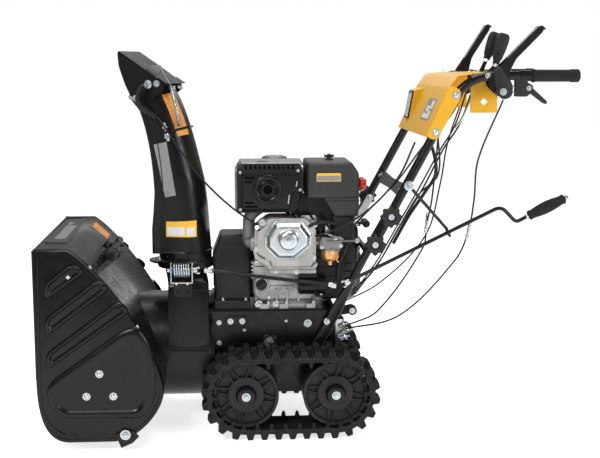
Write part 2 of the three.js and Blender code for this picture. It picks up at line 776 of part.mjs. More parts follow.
function muffler() {
  const face = [[-150, 651], [40, 651], [40, 780], [24, 797], [-134, 797], [-150, 780]];
  const elbow = tube(bent([[-100, -140, 660], [-134, -140, 630], [-134, -140, 556],
    [-109, -140, 556]], 24, 4), 17);
  const outlet = turned('y', [[0, -200], [20, -200], [20, -185], [0, -185]], [-62, 719]);
  return join(plate('y', face, -190, -45), elbow, outlet);
}

function airBox() {
  const face = [[52, 700], [92, 700], [124, 646], [134, 637], [206, 637], [206, 770], [182, 797],
    [52, 797]];
  return plate('y', face, -190, -12);
}

function carburetor() {
  return join(
    box(84, 152, -188, -132, 534, 582),
    rod('z', 14, 580, 634, [146, -150]),
    rod('z', 27, 508, 536, [122, -160], 20),
    rod('z', 8, 496, 510, [122, -160], 8),
  );
}

function fanHousing() {
  const shell = cut(
    join(
      rod('x', 102, 112, 215, [0, CRANK_Z], 24),
      box(112, 215, -102, 102, CRANK_Z, 600),
    ),
    rod('x', 98, 100, 211, [0, CRANK_Z], 24),
    box(100, 211, -96, 96, CRANK_Z, 596),
  );
  return join(shell, rod('x', 66, 213, 228, [0, CRANK_Z], 20));
}

function crankshaft() {
  return join(
    rod('x', 15, -208, 190, [0, CRANK_Z]),
    rod('x', 92, 124, 158, [0, CRANK_Z], 20),
    pulley(AUGER_BELT_X, 38, 30, 4).translate(0, 0, CRANK_Z),
    pulley(DRIVE_BELT_X, 32, 24, 4).translate(0, 0, CRANK_Z),
  );
}

add('crankcase', castAlloy, crankcase());
add('valve_cover', zinc, valveCover());
add('muffler', blackPaint, muffler());
add('air_box', darkPlastic, airBox());
add('carburetor', bronze, carburetor());
add('fuel_tank', blackPaint, join(
  plate('z', [[-110, 0], [40, 0], [60, 20], [60, 150], [40, 170], [-110, 170], [-130, 150],
    [-130, 20]], 650, 770),
  rod('z', 30, 769, 778, [-30, 70], 20),
));
const CAP_PROFILE = [[0, 778.5], [38, 778.5], [40, 786], [36, 795], [0, 797]];
add('fuel_cap', blackPaint, turned('z', CAP_PROFILE, [-30, 70], 20));
add('fan_housing', blackPaint, fanHousing());
add('crankshaft', steel, crankshaft());
add('starter_motor', blackPaint, rod('x', 27, 28, 111, [-140, 427], 20));
const CHOKE_PROFILE = [[0, 206.5], [6, 206.5], [6, 214], [19, 216], [19, 226], [14, 231], [0, 231]];
add('choke_knob', redPlastic, turned('x', CHOKE_PROFILE, [-100, 723]));
add('recoil_handle', darkPlastic, join(
  rod('y', 9, -92, -28, [240, 600], 12),
  rod('x', 4, 216, 240, [-60, 600], 8),
));

// ---------------------------------------------------------------- handles
const LAP_LOW = [242, 566];
const LAP_HIGH = [287, 646];

function lowerHandle() {
  const leg = bent([[79, -143.5, 233], [120, -143.5, 318], [232, -LEG_Y, 548],
    [294, -LEG_Y, 660]], 30, 3);
  const bore = ([x, z]) => rod('y', 5, -260, 260, [x, z], 10);
  return cut(
    join(
      tube(leg, LEG_RADIUS),
      tube(mirrored(leg), LEG_RADIUS),
      rod('y', 9, -LEG_Y + 4, LEG_Y - 4, [226.5, 537]),
    ),
    bore(LAP_LOW),
    bore(LAP_HIGH),
  );
}

// Hanger below the bar that carries a clutch lever's pivot, and the block for a steering trigger.
function barBrackets(side) {
  const middle = side * TUBE_Y;
  const [px, pz] = CLUTCH_PIVOT;
  const tab = [[px - 14, pz - 4], [px - 8, pz - 12], [px + 8, pz - 12], [px + 14, pz - 4],
    [px + 16, 1036], [px - 16, 1036]];
  const [tx, tz] = TRIGGER_PIVOT;
  const ear = [[645, 988], [672, 988], [672, 998], [tx + 8, tz - 8], [tx + 8, tz + 8], [672, 1024],
    [672, 1036], [645, 1036]];
  return cut(
    join(
      plate('y', tab, middle - 6, middle + 6),
      plate('y', ear, middle - 11, middle - 6.5),
      plate('y', ear, middle + 6.5, middle + 11),
      box(645, 668, middle - 11, middle + 11, 988, 1036),
    ),
    rod('y', 5 + GAP, middle - 20, middle + 20, CLUTCH_PIVOT, 12),
    rod('y', 3 + GAP, middle - 20, middle + 20, TRIGGER_PIVOT, 10),
  );
}

function upperHandle() {
  const left = bent([[233.5, -TUBE_Y, 547], [501, -TUBE_Y, BAR_Z], [BAR_END, -TUBE_Y, BAR_Z]], 62, 5);
  const bore = ([x, z]) => rod('y', 5, -260, 260, [x, z], 10);
  return cut(
    join(
      tube(left, TUBE_RADIUS, 10),
      tube(mirrored(left), TUBE_RADIUS, 10),
      box(-16, 16, -TUBE_Y, TUBE_Y, -2, 2).rotateY(-61.7 * RAD).translate(324, 0, 716),
      barBrackets(-1),
      barBrackets(1),
    ),
    bore(LAP_LOW),
    bore(LAP_HIGH),
  );
}

// Two clamp bolts with lobed knobs, tied by one backing plate inboard of the tubes.
function handleClamp(side) {
  const outer = side * (TUBE_Y + TUBE_RADIUS + GAP);
  const inner = side * (LEG_Y - LEG_RADIUS - GAP);
  const knobOuter = outer + side * 24;
  const order = (a, b) => [Math.min(a, b), Math.max(a, b)];
  const parts = [];
  for (const [x, z] of [LAP_LOW, LAP_HIGH]) {
    const rim = Array.from({ length: 24 }, (_, i) => {
      const angle = (i * Math.PI) / 12;
      const radius = 25 + 3 * Math.cos(8 * angle);
      return [x + radius * Math.cos(angle), z + radius * Math.sin(angle)];
    });
    parts.push(plate('y', rim, ...order(outer + side * 6, knobOuter)));
    parts.push(rod('y', 13, ...order(outer, outer + side * 8), [x, z]));
    parts.push(rod('y', 4.4, ...order(inner - side * 8, outer + side * 2), [x, z], 10));
  }
  const [dx, dz] = [LAP_HIGH[0] - LAP_LOW[0], LAP_HIGH[1] - LAP_LOW[1]];
  const middle = [(LAP_LOW[0] + LAP_HIGH[0]) / 2, (LAP_LOW[1] + LAP_HIGH[1]) / 2];
  const corner = (forward, right) => [
    middle[0] + dx * forward + dz * right, middle[1] + dz * forward - dx * right,
  ];
  const tie = [corner(-0.6, -0.12), corner(0.6, -0.12), corner(0.6, 0.12), corner(-0.6, 0.12)];
  parts.push(plate('y', tie, ...order(inner, inner - side * 3)));
  return join(...parts);
}

function grip(side) {
  const profile = [
    [TUBE_RADIUS + GAP, 689], [18, 690], [18, 822], [15, 828], [0, 828], [0, BAR_END + GAP],
    [TUBE_RADIUS + GAP, BAR_END + GAP],
  ];
  return turned('x', profile, [side * TUBE_Y, BAR_Z], 16);
}

add('lower_handle', blackPaint, lowerHandle());
add('upper_handle', blackPaint, upperHandle());
add('left_handle_clamp', darkPlastic, handleClamp(-1));
add('right_handle_clamp', darkPlastic, handleClamp(1));
add('left_grip', rubber, grip(-1));
add('right_grip', rubber, grip(1));

// ---------------------------------------------------------------- console
const CONSOLE_SHEET = 2.5;

function consolePanel() {
  const cheek = [[388, 872], [409, 864], [426, 872], [430, 888], [483, 979], [484, 1001], [466, 1014],
    [452, 1012]];
  const hanger = [[522, 938], [601, 938], [601, 1051], [522, 1048]];
  const slope = [[386, 872], [450, 1011], [474, 1046], [508, 1050]];
  const top = [[500, 1049.4], [560, 1052], [662, 1055]];
  const [px, pz] = SHIFT_PIVOT;
  const tab = [[px - 10, pz - 8], [px + 10, pz - 8], [px + 12, 1052], [px - 12, 1052]];
  const parts = [
    plate('y', strip(slope, CONSOLE_SHEET), -CONSOLE_HALF, CONSOLE_HALF),
    plate('y', strip(top, CONSOLE_SHEET), -216, 216),
    rod('y', 4, -48, 48, SHIFT_PIVOT, 12),
  ];
  for (const side of [-1, 1]) {
    const span = (near, far) => [side * near, side * far].sort((a, b) => a - b);
    parts.push(plate('y', cheek, ...span(CONSOLE_HALF - CONSOLE_SHEET, CONSOLE_HALF)));
    parts.push(plate('y', hanger, ...span(198.8, 201.2)));
    parts.push(plate('y', tab, ...span(45, 48)));
  }
  return cut(
    join(...parts),
    rod('y', 9, -210, 210, [562, 969], 14),
    box(576, 640, -32, -12, 1040, 1060),
    box(576, 640, 12, 32, 1040, 1060),
  );
}

function headlight() {
  const lean = [[0, 0], [-14, 3], [-12, 84], [0, 90]];
  const turn = 65.3 * RAD;
  const origin = [400, 905];
  const outline = lean.map(([out, up]) => [
    origin[0] + up * Math.cos(turn) + out * Math.sin(turn),
    origin[1] + up * Math.sin(turn) - out * Math.cos(turn),
  ]);
  return plate('y', outline, 128, 192);
}

add('console_panel', yellowPaint, consolePanel());
add('headlight', lensPlastic, headlight());

// ---------------------------------------------------------------- levers
// Squeeze lever: a channel with its web uppermost, forked round the bar, on a pin below the bar.
function clutchLever(side, rest) {
  const middle = side * TUBE_Y;
  const heading = rest * RAD;
  const at = (forward, up) => [
    CLUTCH_PIVOT[0] + forward * Math.cos(heading) - up * Math.sin(heading),
    CLUTCH_PIVOT[1] + forward * Math.sin(heading) + up * Math.cos(heading),
  ];
  const cheek = [at(-14, -6), at(10, -10), at(18, 8), at(86, 37), at(204, 37), at(211, 46), at(206, 55),
    at(0, 55), at(-16, 40)];
  const half = TUBE_RADIUS + GAP;
  const web = [at(84, 52), at(206, 52), at(206, 55), at(84, 55)];
  return join(
    plate('y', cheek, middle - half - 2.5, middle - half),
    plate('y', cheek, middle + half, middle + half + 2.5),
    plate('y', web, middle - half - 1, middle + half + 1),
    rod('y', 5, middle - half - 2, middle + half + 2, CLUTCH_PIVOT, 12),
  );
}

function steeringTrigger(side) {
  const middle = side * TUBE_Y;
  const [x, z] = TRIGGER_PIVOT;
  const blade = [[x - 6, z + 2], [x + 2, z + 7], [x + 12, z - 2], [x + 54, z - 40], [x + 52, z - 46],
    [x - 2, z - 7]];
  return join(
    plate('y', blade, middle - 6, middle + 6),
    rod('y', 3, middle - 11, middle + 11, TRIGGER_PIVOT, 10),
  );
}

// Hand lever with a paddle knob, on the cross pin below the console.
function shiftLever(y, lean, knobStart, knobEnd) {
  const heading = (90 - lean) * RAD;
  const at = (forward, up) => [
    SHIFT_PIVOT[0] + forward * Math.cos(heading) - up * Math.sin(heading),
    SHIFT_PIVOT[1] + forward * Math.sin(heading) + up * Math.cos(heading),
  ];
  const [ax, az] = at(8, 0);
  const [bx, bz] = at(knobStart + 10, 0);
  const knob = [
    at(knobStart, -8), at(knobStart + 30, -14), at(knobEnd - 10, -16), at(knobEnd, -8),
    at(knobEnd, 8), at(knobEnd - 10, 16), at(knobStart + 30, 14), at(knobStart, 8),
  ];
  return join(
    cut(rod('y', 11, y - 6, y + 6, SHIFT_PIVOT), rod('y', 4 + GAP, y - 7, y + 7, SHIFT_PIVOT, 12)),
    tube([[ax, y, az], [bx, y, bz]], 5, 10),
    plate('y', knob, y - 11, y + 11),
  );
}

add('left_clutch_lever', blackPaint, clutchLever(-1, LEFT_CLUTCH_REST));
add('right_clutch_lever', blackPaint, clutchLever(1, RIGHT_CLUTCH_REST));
add('left_steering_trigger', darkPlastic, steeringTrigger(-1));
add('right_steering_trigger', darkPlastic, steeringTrigger(1));
add('speed_lever', darkPlastic, shiftLever(22, 24, 104, 196));
add('deflector_lever', darkPlastic, shiftLever(-22, 31, 90, 186));

machine.position.set(-MIDDLE_X, 0, -TREAD_Z);

export default machine;
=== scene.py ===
"""Visual model of a two-stage snow blower on rubber tracks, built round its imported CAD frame.

Shapes are written in millimetres along the CAD's axes: -X is the front, -Y the operator's left, +Z up.
They are measured from the ground point midway between the track wheels, and a piece is scaled to
metres and moved into the CAD's frame when it is made. Places come from the nodes' boxes and the joints.
"""
import json
import math

import bmesh
import bpy
from mathutils import Matrix, Vector


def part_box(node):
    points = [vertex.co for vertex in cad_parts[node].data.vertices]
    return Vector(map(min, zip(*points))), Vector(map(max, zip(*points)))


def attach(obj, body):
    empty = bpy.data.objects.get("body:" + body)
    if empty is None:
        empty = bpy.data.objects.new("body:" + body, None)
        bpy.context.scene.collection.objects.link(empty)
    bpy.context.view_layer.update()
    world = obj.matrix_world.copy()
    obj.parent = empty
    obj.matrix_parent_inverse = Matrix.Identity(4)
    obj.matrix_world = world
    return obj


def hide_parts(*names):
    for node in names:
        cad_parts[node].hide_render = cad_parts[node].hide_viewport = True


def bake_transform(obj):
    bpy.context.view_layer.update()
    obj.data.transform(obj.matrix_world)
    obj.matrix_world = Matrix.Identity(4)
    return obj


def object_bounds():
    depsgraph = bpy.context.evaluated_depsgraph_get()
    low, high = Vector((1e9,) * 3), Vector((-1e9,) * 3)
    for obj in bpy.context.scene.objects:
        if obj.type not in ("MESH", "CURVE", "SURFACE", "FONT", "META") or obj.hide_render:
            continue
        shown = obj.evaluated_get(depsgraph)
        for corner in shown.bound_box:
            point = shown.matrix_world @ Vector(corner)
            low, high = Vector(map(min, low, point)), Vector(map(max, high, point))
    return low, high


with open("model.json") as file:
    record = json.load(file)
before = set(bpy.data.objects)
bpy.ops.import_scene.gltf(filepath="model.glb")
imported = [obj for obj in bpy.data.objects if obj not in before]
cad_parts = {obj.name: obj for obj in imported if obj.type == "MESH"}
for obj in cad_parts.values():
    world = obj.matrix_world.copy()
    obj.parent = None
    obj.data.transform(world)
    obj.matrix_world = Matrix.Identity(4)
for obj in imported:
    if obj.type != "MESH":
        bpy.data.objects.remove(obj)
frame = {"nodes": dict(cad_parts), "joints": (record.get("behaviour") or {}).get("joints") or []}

cad_box = [list(corner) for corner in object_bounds()]

MM = 0.001
LEFT, RIGHT = -1, 1


# ------------------------------------------------------------------ places from the frame
def track_middle():
    """Ground point midway between the front and rear track wheels, in the CAD's frame in metres."""
    hubs = [Vector(joint["pos_m"]) for joint in frame["joints"]
            if joint["name"] in ("left_front_wheel_spin", "left_rear_wheel_spin")]
    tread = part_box("left_track")[0].z
    return Vector(((hubs[0].x + hubs[1].x) / 2, 0, tread - TREAD_GAP * MM))


TREAD_GAP = 0.5
ORIGIN = track_middle()


class Span:
    """Box of a CAD node in millimetres."""

    def __init__(self, node):
        low, high = (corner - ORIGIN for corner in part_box(node))
        self.x0, self.y0, self.z0 = low / MM
        self.x1, self.y1, self.z1 = high / MM
        self.x, self.y, self.z = (low + high) / MM / 2


PIVOT = {joint["name"]: (Vector(joint["pos_m"]) - ORIGIN) / MM
         for joint in frame["joints"] if "pos_m" in joint}
AXIS = {joint["name"]: Vector(joint["axis"]).normalized() for joint in frame["joints"]}


# ------------------------------------------------------------------ outlines
def arc(centre, radius, start, end, steps):
    """Points on a circle from one angle to another, in degrees."""
    points = []
    for i in range(steps + 1):
        angle = math.radians(start + (end - start) * i / steps)
        points.append((centre[0] + radius * math.cos(angle), centre[1] + radius * math.sin(angle)))
    return points


def disc(centre, radius, sides=32, turn=0.0):
    return arc(centre, radius, turn, turn + 360 * (sides - 1) / sides, sides - 1)


def bezier(a, b, c, d, steps):
    """Points after a on the cubic curve from a to d."""
    points = []
    for i in range(1, steps + 1):
        t = i / steps
        weights = ((1 - t) ** 3, 3 * t * (1 - t) ** 2, 3 * t * t * (1 - t), t ** 3)
        points.append(tuple(sum(w * p[k] for w, p in zip(weights, (a, b, c, d))) for k in range(len(a))))
    return points


class Outline(list):
    """Rounded outline that keeps its sharp corners, so that it can be inset without knots."""


def rounded(corners, radius, steps=4, closed=True):
    """Replaces the corners of a line in 2D or 3D by small curves."""
    points = Outline()
    points.corners = corners
    points.radius = radius
    points.steps = steps
    count = len(corners)
    for i, corner in enumerate(corners):
        here = Vector(corner)
        if not closed and i in (0, count - 1):
            points.append(tuple(here))
            continue
        before = Vector(corners[i - 1]) - here
        after = Vector(corners[(i + 1) % count]) - here
        reach = min(radius, before.length * 0.45, after.length * 0.45)
        start = here + before.normalized() * reach
        end = here + after.normalized() * reach
        for k in range(steps + 1):
            t = k / steps
            points.append(tuple(start * (1 - t) ** 2 + here * 2 * t * (1 - t) + end * t * t))
    return points


def inset(outline, distance):
    """Moves a closed 2D outline inward by a distance."""
    if isinstance(outline, Outline):
        radius = max(outline.radius - distance, outline.radius * 0.15)
        return rounded(inset(list(outline.corners), distance), radius, outline.steps)
    area = sum(p[0] * q[1] - q[0] * p[1] for p, q in zip(outline, outline[1:] + outline[:1]))
    side = 1 if area > 0 else -1
    moved_points = []
    for i, point in enumerate(outline):
        here = Vector(point)
        before = (here - Vector(outline[i - 1])).normalized()
        after = (Vector(outline[(i + 1) % len(outline)]) - here).normalized()
        mean = before + after
        normal = Vector((-mean.y, mean.x)).normalized() * side
        lean = max(normal.dot(Vector((-before.y, before.x)) * side), 0.35)
        moved_points.append(tuple(here + normal * distance / lean))
    return moved_points


def box_outline(low_a, high_a, low_b, high_b, radius, steps=4):
    """Four-cornered outline with rounded corners."""
    corners = [(low_a, low_b), (high_a, low_b), (high_a, high_b), (low_a, high_b)]
    return rounded(corners, radius, steps)


def lobed(centre, radius, wave, sides, lobes=8):
    """Circle whose radius rises and falls in even waves."""
    points = []
    for k in range(sides):
        angle = 2 * math.pi * k / sides
        reach = radius + wave * math.cos(lobes * angle)
        points.append((centre[0] + reach * math.cos(angle), centre[1] + reach * math.sin(angle)))
    return points


def on_circle(centre, radius, degrees):
    """Flat point on a circle at an angle in degrees."""
    angle = math.radians(degrees)
    return centre[0] + radius * math.cos(angle), centre[1] + radius * math.sin(angle)


def stretched(points, spacing):
    """Adds points along a path so that none are further apart than spacing."""
    path = [Vector(points[0])]
    for a, b in zip(points, points[1:]):
        a, b = Vector(a), Vector(b)
        parts = max(1, round((b - a).length / spacing))
        path.extend(a.lerp(b, k / parts) for k in range(1, parts + 1))
    return path


def flowing(points, steps=8):
    """Smooth curve through every point of a path in 3D."""
    path = [Vector(point) for point in points]
    ends = [path[0] * 2 - path[1]] + path + [path[-1] * 2 - path[-2]]
    curve = [path[0]]
    for before, start, end, after in zip(ends, ends[1:], ends[2:], ends[3:]):
        reach = (end - start).length
        leave = (end - before).normalized() * reach / 3
        arrive = (after - start).normalized() * reach / 3
        curve += [Vector(point) for point in bezier(start, start + leave, end - arrive, end, steps)]
    return curve


# ------------------------------------------------------------------ solids
def lift(axis, a, b, height):
    """Point of a flat outline at a height along an axis: (y, z) for x, (x, z) for y, (x, y) for z."""
    return {"x": (height, a, b), "y": (a, height, b), "z": (a, b, height)}[axis]


def skin(mesh, rings, ends="cap"):
    """Closed skin over rings of equal length. The ends are capped, or joined to each other."""
    rows = [[mesh.verts.new(point) for point in ring] for ring in rings]
    pairs = list(zip(rows, rows[1:]))
    if ends == "join":
        pairs.append((rows[-1], rows[0]))
    for row, following in pairs:
        for i in range(len(row)):
            k = (i + 1) % len(row)
            mesh.faces.new((row[i], row[k], following[k], following[i]))
    if ends == "cap":
        mesh.faces.new(rows[0][::-1])
        mesh.faces.new(rows[-1])
    return [vertex for row in rows for vertex in row]


def prism(mesh, axis, outline, low, high):
    return skin(mesh, [[lift(axis, a, b, height) for a, b in outline] for height in (low, high)])


def block(mesh, x0, x1, y0, y1, z0, z1):
    return prism(mesh, "z", [(x0, y0), (x1, y0), (x1, y1), (x0, y1)], z0, z1)


def pillow(mesh, axis, outline, steps):
    """Stack of inset copies of an outline. Each step is (inset, height)."""
    return skin(mesh, [
        [lift(axis, a, b, height) for a, b in (inset(outline, distance) if distance else outline)]
        for distance, height in steps
    ])


def lathe(mesh, point, direction, profile, sides=32, ends="cap"):
    """Solid of revolution from a point along a direction. The profile is (radius, height) pairs."""
    turn = Vector(direction).to_track_quat("Z", "Y")
    point = Vector(point)
    rings = []
    for radius, height in profile:
        ring = disc((0, 0), radius, sides)
        rings.append([point + turn @ Vector((a, b, height)) for a, b in ring])
    return skin(mesh, rings, ends)


def tube(mesh, points, radius, sides=12, hollow=0.0):
    """Round bar along a path. The radius is a number or a function of the share of the way along."""
    path = [Vector(point) for point in points]
    tangents = []
    for i in range(len(path)):
        tangents.append((path[min(i + 1, len(path) - 1)] - path[max(i - 1, 0)]).normalized())
    side = tangents[0].orthogonal().normalized()
    rings = []
    inner = []
    for i, (point, tangent) in enumerate(zip(path, tangents)):
        side = (side - tangent * side.dot(tangent)).normalized()
        other = tangent.cross(side)
        size = radius(i / (len(path) - 1)) if callable(radius) else radius
        circle = disc((0, 0), 1, sides)
        rings.append([point + (side * a + other * b) * size for a, b in circle])
        inner.append([point + (side * a + other * b) * hollow for a, b in circle])
    if hollow:
        return skin(mesh, rings + inner[::-1], "join")
    return skin(mesh, rings)


def bolt(mesh, point, direction, size, head=None, washer=True, dome=False):
    """Hex bolt head on a washer, or a domed head. The size is half the head's width."""
    head = head or size * 0.75
    if washer:
        lathe(mesh, point, direction, [(size * 1.45, -0.3), (size * 1.45, size * 0.16)], 24)
    if dome:
        profile = [(size * 1.1, 0), (size * 1.1, head * 0.2), (size * 0.95, head * 0.6),
                   (size * 0.6, head * 0.9), (size * 0.2, head)]
        lathe(mesh, point, direction, profile, 20)
        return
    profile = [(size, 0), (size, head * 0.82), (size * 0.85, head)]
    lathe(mesh, point, direction, profile, 6)
    tip = Vector(point) + Vector(direction).normalized() * head * 0.9
    lathe(mesh, tip, direction, [(size * 0.5, 0), (size * 0.5, size * 0.35), (size * 0.42, size * 0.45)],
          14)


def coil(mesh, start, end, radius, wire, turns, steps=14, sides=8):
    """Wound wire spring between two points."""
    start, end = Vector(start), Vector(end)
    turn = (end - start).to_track_quat("Z", "Y")
    path = []
    for i in range(turns * steps + 1):
        angle = 2 * math.pi * i / steps
        share = i / (turns * steps)
        offset = Vector((radius * math.cos(angle), radius * math.sin(angle), 0))
        path.append(start.lerp(end, share) + turn @ offset)
    return tube(mesh, path, wire, sides)


def moved(vertices, matrix):
    for vertex in vertices:
        vertex.co = matrix @ vertex.co
    return vertices


# ------------------------------------------------------------------ pieces
def piece(name, body, material, mesh, bevel=0.0, segments=2, smooth=38, replaces=()):
    """Turns a mesh in millimetres into a piece that rides on a body. The bevel is in millimetres.

    A body given as a tuple (first, second, start, end) leaves the piece where it is, on no body; the
    tuple's entries are not used.
    """
    bmesh.ops.recalc_face_normals(mesh, faces=mesh.faces)
    bmesh.ops.scale(mesh, vec=(MM, MM, MM), verts=mesh.verts)
    bmesh.ops.translate(mesh, vec=ORIGIN, verts=mesh.verts)
    data = bpy.data.meshes.new(name)
    mesh.to_mesh(data)
    mesh.free()
    data.materials.append(material)
    data.shade_smooth()
    thing = bpy.data.objects.new(name, data)
    bpy.context.scene.collection.objects.link(thing)
    if bevel:
        soften(thing, bevel * MM, segments)
    else:
        data.set_sharp_from_angle(angle=math.radians(smooth))
    if isinstance(body, tuple):
        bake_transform(thing)
    else:
        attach(thing, body)
    if replaces:
        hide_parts(*replaces)
    return thing


def soften(thing, width, segments=2):
    modifier = thing.modifiers.new("soft_edges", "BEVEL")
    modifier.width = width
    modifier.segments = segments
    modifier.limit_method = "ANGLE"
    modifier.angle_limit = math.radians(32)
    modifier.harden_normals = True


def carried(node, material, bevel=0.6):
    """Keeps a CAD node's shape and gives it a finish and softened edges."""
    thing = frame["nodes"][node]
    thing.data.materials.clear()
    thing.data.materials.append(material)
    thing.data.shade_smooth()
    soften(thing, bevel * MM)
    return thing


# ------------------------------------------------------------------ finishes
class Finish:
    """A new material with helpers that add linked shader nodes."""

    def __init__(self, name):
        self.material = bpy.data.materials.new(name)
        self.material.use_nodes = True
        self.tree = self.material.node_tree
        self.shader = self.tree.nodes["Principled BSDF"]
        self.place = self.add("ShaderNodeTexCoord").outputs["Object"]

    def put(self, node, key, value):
        socket = node.inputs[key]
        if isinstance(value, bpy.types.NodeSocket):
            self.tree.links.new(value, socket)
        else:
            socket.default_value = value

    def add(self, kind, values=None, **settings):
        node = self.tree.nodes.new(kind)
        for key, value in settings.items():
            setattr(node, key, value)
        for key, value in (values or {}).items():
            self.put(node, key, value)
        return node

    def noise(self, scale, detail=3.0, place=None):
        values = {"Vector": place or self.place, "Scale": scale, "Detail": detail}
        return self.add("ShaderNodeTexNoise", values).outputs["Fac"]

    def remap(self, value, low, high, start=0.3, end=0.7):
        values = {"Value": value, "From Min": start, "From Max": end, "To Min": low, "To Max": high}
        return self.add("ShaderNodeMapRange", values).outputs["Result"]

    def mix(self, share, first, second):
        values = {0: share, 6: first, 7: second}
        return self.add("ShaderNodeMix", values, data_type="RGBA").outputs[2]

    def bump(self, height, distance, strength=1.0, normal=None):
        values = {"Height": height, "Distance": distance, "Strength": strength}
        node = self.add("ShaderNodeBump", values)
        if normal:
            self.put(node, "Normal", normal)
        return node.outputs["Normal"]

    def facing(self, axis):
        """Share of the surface's normal along x, y or z."""
        geometry = self.add("ShaderNodeNewGeometry")
        split = self.add("ShaderNodeSeparateXYZ", {"Vector": geometry.outputs["Normal"]})
        return split.outputs[axis]

    def edges(self, radius):
        """1 on sharp edges and 0 on flats."""
        geometry = self.add("ShaderNodeNewGeometry")
        round_edge = self.add("ShaderNodeBevel", {"Radius": radius}, samples=4)
        values = {0: round_edge.outputs["Normal"], 1: geometry.outputs["Normal"]}
        product = self.add("ShaderNodeVectorMath", values, operation="DOT_PRODUCT")
        return self.remap(product.outputs["Value"], 1.0, 0.0, 0.90, 0.995)


def color(red, green, blue):
    return (red, green, blue, 1.0)


def shade(rgb, amount):
    return color(*(min(1.0, channel * amount) for channel in rgb[:3]))


def surface(name, rgb, roughness, metallic=0.0, tint=0.15, blotch=9.0, grain=700.0, relief=0.05,
            coat=0.0, dust_and_sheen=None, dust_and_sheen_share=0.0, worn=None, worn_share=0.6, shine=0.5):
    """General finish: blotchy tint, uneven roughness, fine grain, dust and painted sheen on top faces, worn
    edges.
    """
    finish = Finish(name)
    cloud = finish.noise(blotch, 5.0)
    base = finish.mix(finish.remap(cloud, 0.0, 1.0), shade(rgb, 1 - tint), shade(rgb, 1 + tint))
    if worn:
        chips = finish.remap(finish.noise(160, 4.0), 0.0, worn_share, 0.35, 0.7)
        values = {0: finish.edges(0.0012), 1: chips}
        share = finish.add("ShaderNodeMath", values, operation="MULTIPLY").outputs[0]
        base = finish.mix(share, base, worn)
    if dust_and_sheen:
        # Upward faces are lightened in patches: partly dust, partly a painted sheen of the bright room on
        # them.
        top = finish.remap(finish.facing("Z"), 0.0, dust_and_sheen_share, 0.25, 0.95)
        patches = finish.remap(finish.noise(22, 6.0), 0.15, 1.0, 0.35, 0.65)
        share = finish.add("ShaderNodeMath", {0: top, 1: patches}, operation="MULTIPLY").outputs[0]
        base = finish.mix(share, base, dust_and_sheen)
    finish.put(finish.shader, "Base Color", base)
    smear = finish.noise(blotch * 5, 4.0)
    finish.put(finish.shader, "Roughness", finish.remap(smear, roughness - 0.06, roughness + 0.07))
    finish.put(finish.shader, "Metallic", metallic)
    finish.put(finish.shader, "Coat Weight", coat)
    finish.put(finish.shader, "Coat Roughness", 0.12)
    finish.put(finish.shader, "Specular IOR Level", shine)
    if relief:
        fine = finish.noise(grain, 2.0)
        finish.put(finish.shader, "Normal", finish.bump(fine, relief * MM * 4))
    return finish.material


def zinc_finish():
    """Bright zinc plate with faint blue and yellow drifts."""
    finish = Finish("zinc_plate")
    drift = finish.remap(finish.noise(30, 3.0), 0.0, 1.0)
    base = finish.mix(drift, color(0.44, 0.50, 0.56), color(0.56, 0.56, 0.52))
    finish.put(finish.shader, "Base Color", base)
    finish.put(finish.shader, "Metallic", 1.0)
    finish.put(finish.shader, "Roughness", finish.remap(finish.noise(60, 3.0), 0.24, 0.36))
    finish.put(finish.shader, "Normal", finish.bump(finish.noise(500, 2.0), 0.00004))
    return finish.material


def cast_finish(name, rgb, roughness):
    """Sand-cast metal: pitted, with darker stains in patches."""
    finish = Finish(name)
    stain = finish.remap(finish.noise(18, 6.0), 0.0, 1.0, 0.35, 0.7)
    base = finish.mix(stain, shade(rgb, 1.08), shade(rgb, 0.72))
    finish.put(finish.shader, "Base Color", base)
    finish.put(finish.shader, "Metallic", 0.55)
    wear = finish.remap(finish.noise(60, 4.0), roughness - 0.08, roughness + 0.1)
    finish.put(finish.shader, "Roughness", wear)
    pits = finish.bump(finish.noise(420, 4.0), 0.0009, 0.7)
    finish.put(finish.shader, "Normal", pits)
    return finish.material


def elbow_finish():
    """Heat-greyed iron pipe that turns rusty in places."""
    finish = Finish("exhaust_iron")
    rust = finish.remap(finish.noise(26, 6.0), 0.0, 1.0, 0.5, 0.68)
    base = finish.mix(rust, color(0.17, 0.165, 0.16), color(0.20, 0.09, 0.045))
    finish.put(finish.shader, "Base Color", base)
    finish.put(finish.shader, "Metallic", 0.4)
    finish.put(finish.shader, "Roughness", finish.remap(rust, 0.5, 0.9, 0.0, 1.0))
    finish.put(finish.shader, "Normal", finish.bump(finish.noise(300, 5.0), 0.001, 0.8))
    return finish.material


def bowl_finish():
    """Yellow-chromate plate on the carburetor bowl, drifting from gold to violet-brown."""
    finish = Finish("bowl_chromate")
    drift = finish.remap(finish.noise(45, 3.0), 0.0, 1.0)
    base = finish.mix(drift, color(0.85, 0.52, 0.16), color(0.55, 0.26, 0.12))
    finish.put(finish.shader, "Base Color", base)
    finish.put(finish.shader, "Metallic", 0.9)
    finish.put(finish.shader, "Roughness", finish.remap(finish.noise(90, 3.0), 0.2, 0.42))
    return finish.material


def rubber_finish():
    """Moulded track rubber, dusty brown along its edges."""
    finish = Finish("track_rubber")
    cloud = finish.remap(finish.noise(25, 5.0), 0.0, 1.0)
    base = finish.mix(cloud, color(0.0055, 0.0057, 0.0066), color(0.0125, 0.0128, 0.0142))
    finish.put(finish.shader, "Specular IOR Level", 0.2)
    rubbed = finish.remap(finish.noise(70, 5.0), 0.05, 0.75, 0.40, 0.68)
    share = finish.add("ShaderNodeMath", {0: finish.edges(0.004), 1: rubbed},
                       operation="MULTIPLY").outputs[0]
    finish.put(finish.shader, "Base Color", finish.mix(share, base, color(0.100, 0.084, 0.068)))
    finish.put(finish.shader, "Roughness", finish.remap(cloud, 0.62, 0.85, 0.0, 1.0))
    finish.put(finish.shader, "Normal", finish.bump(finish.noise(350, 4.0), 0.0008, 0.7))
    return finish.material


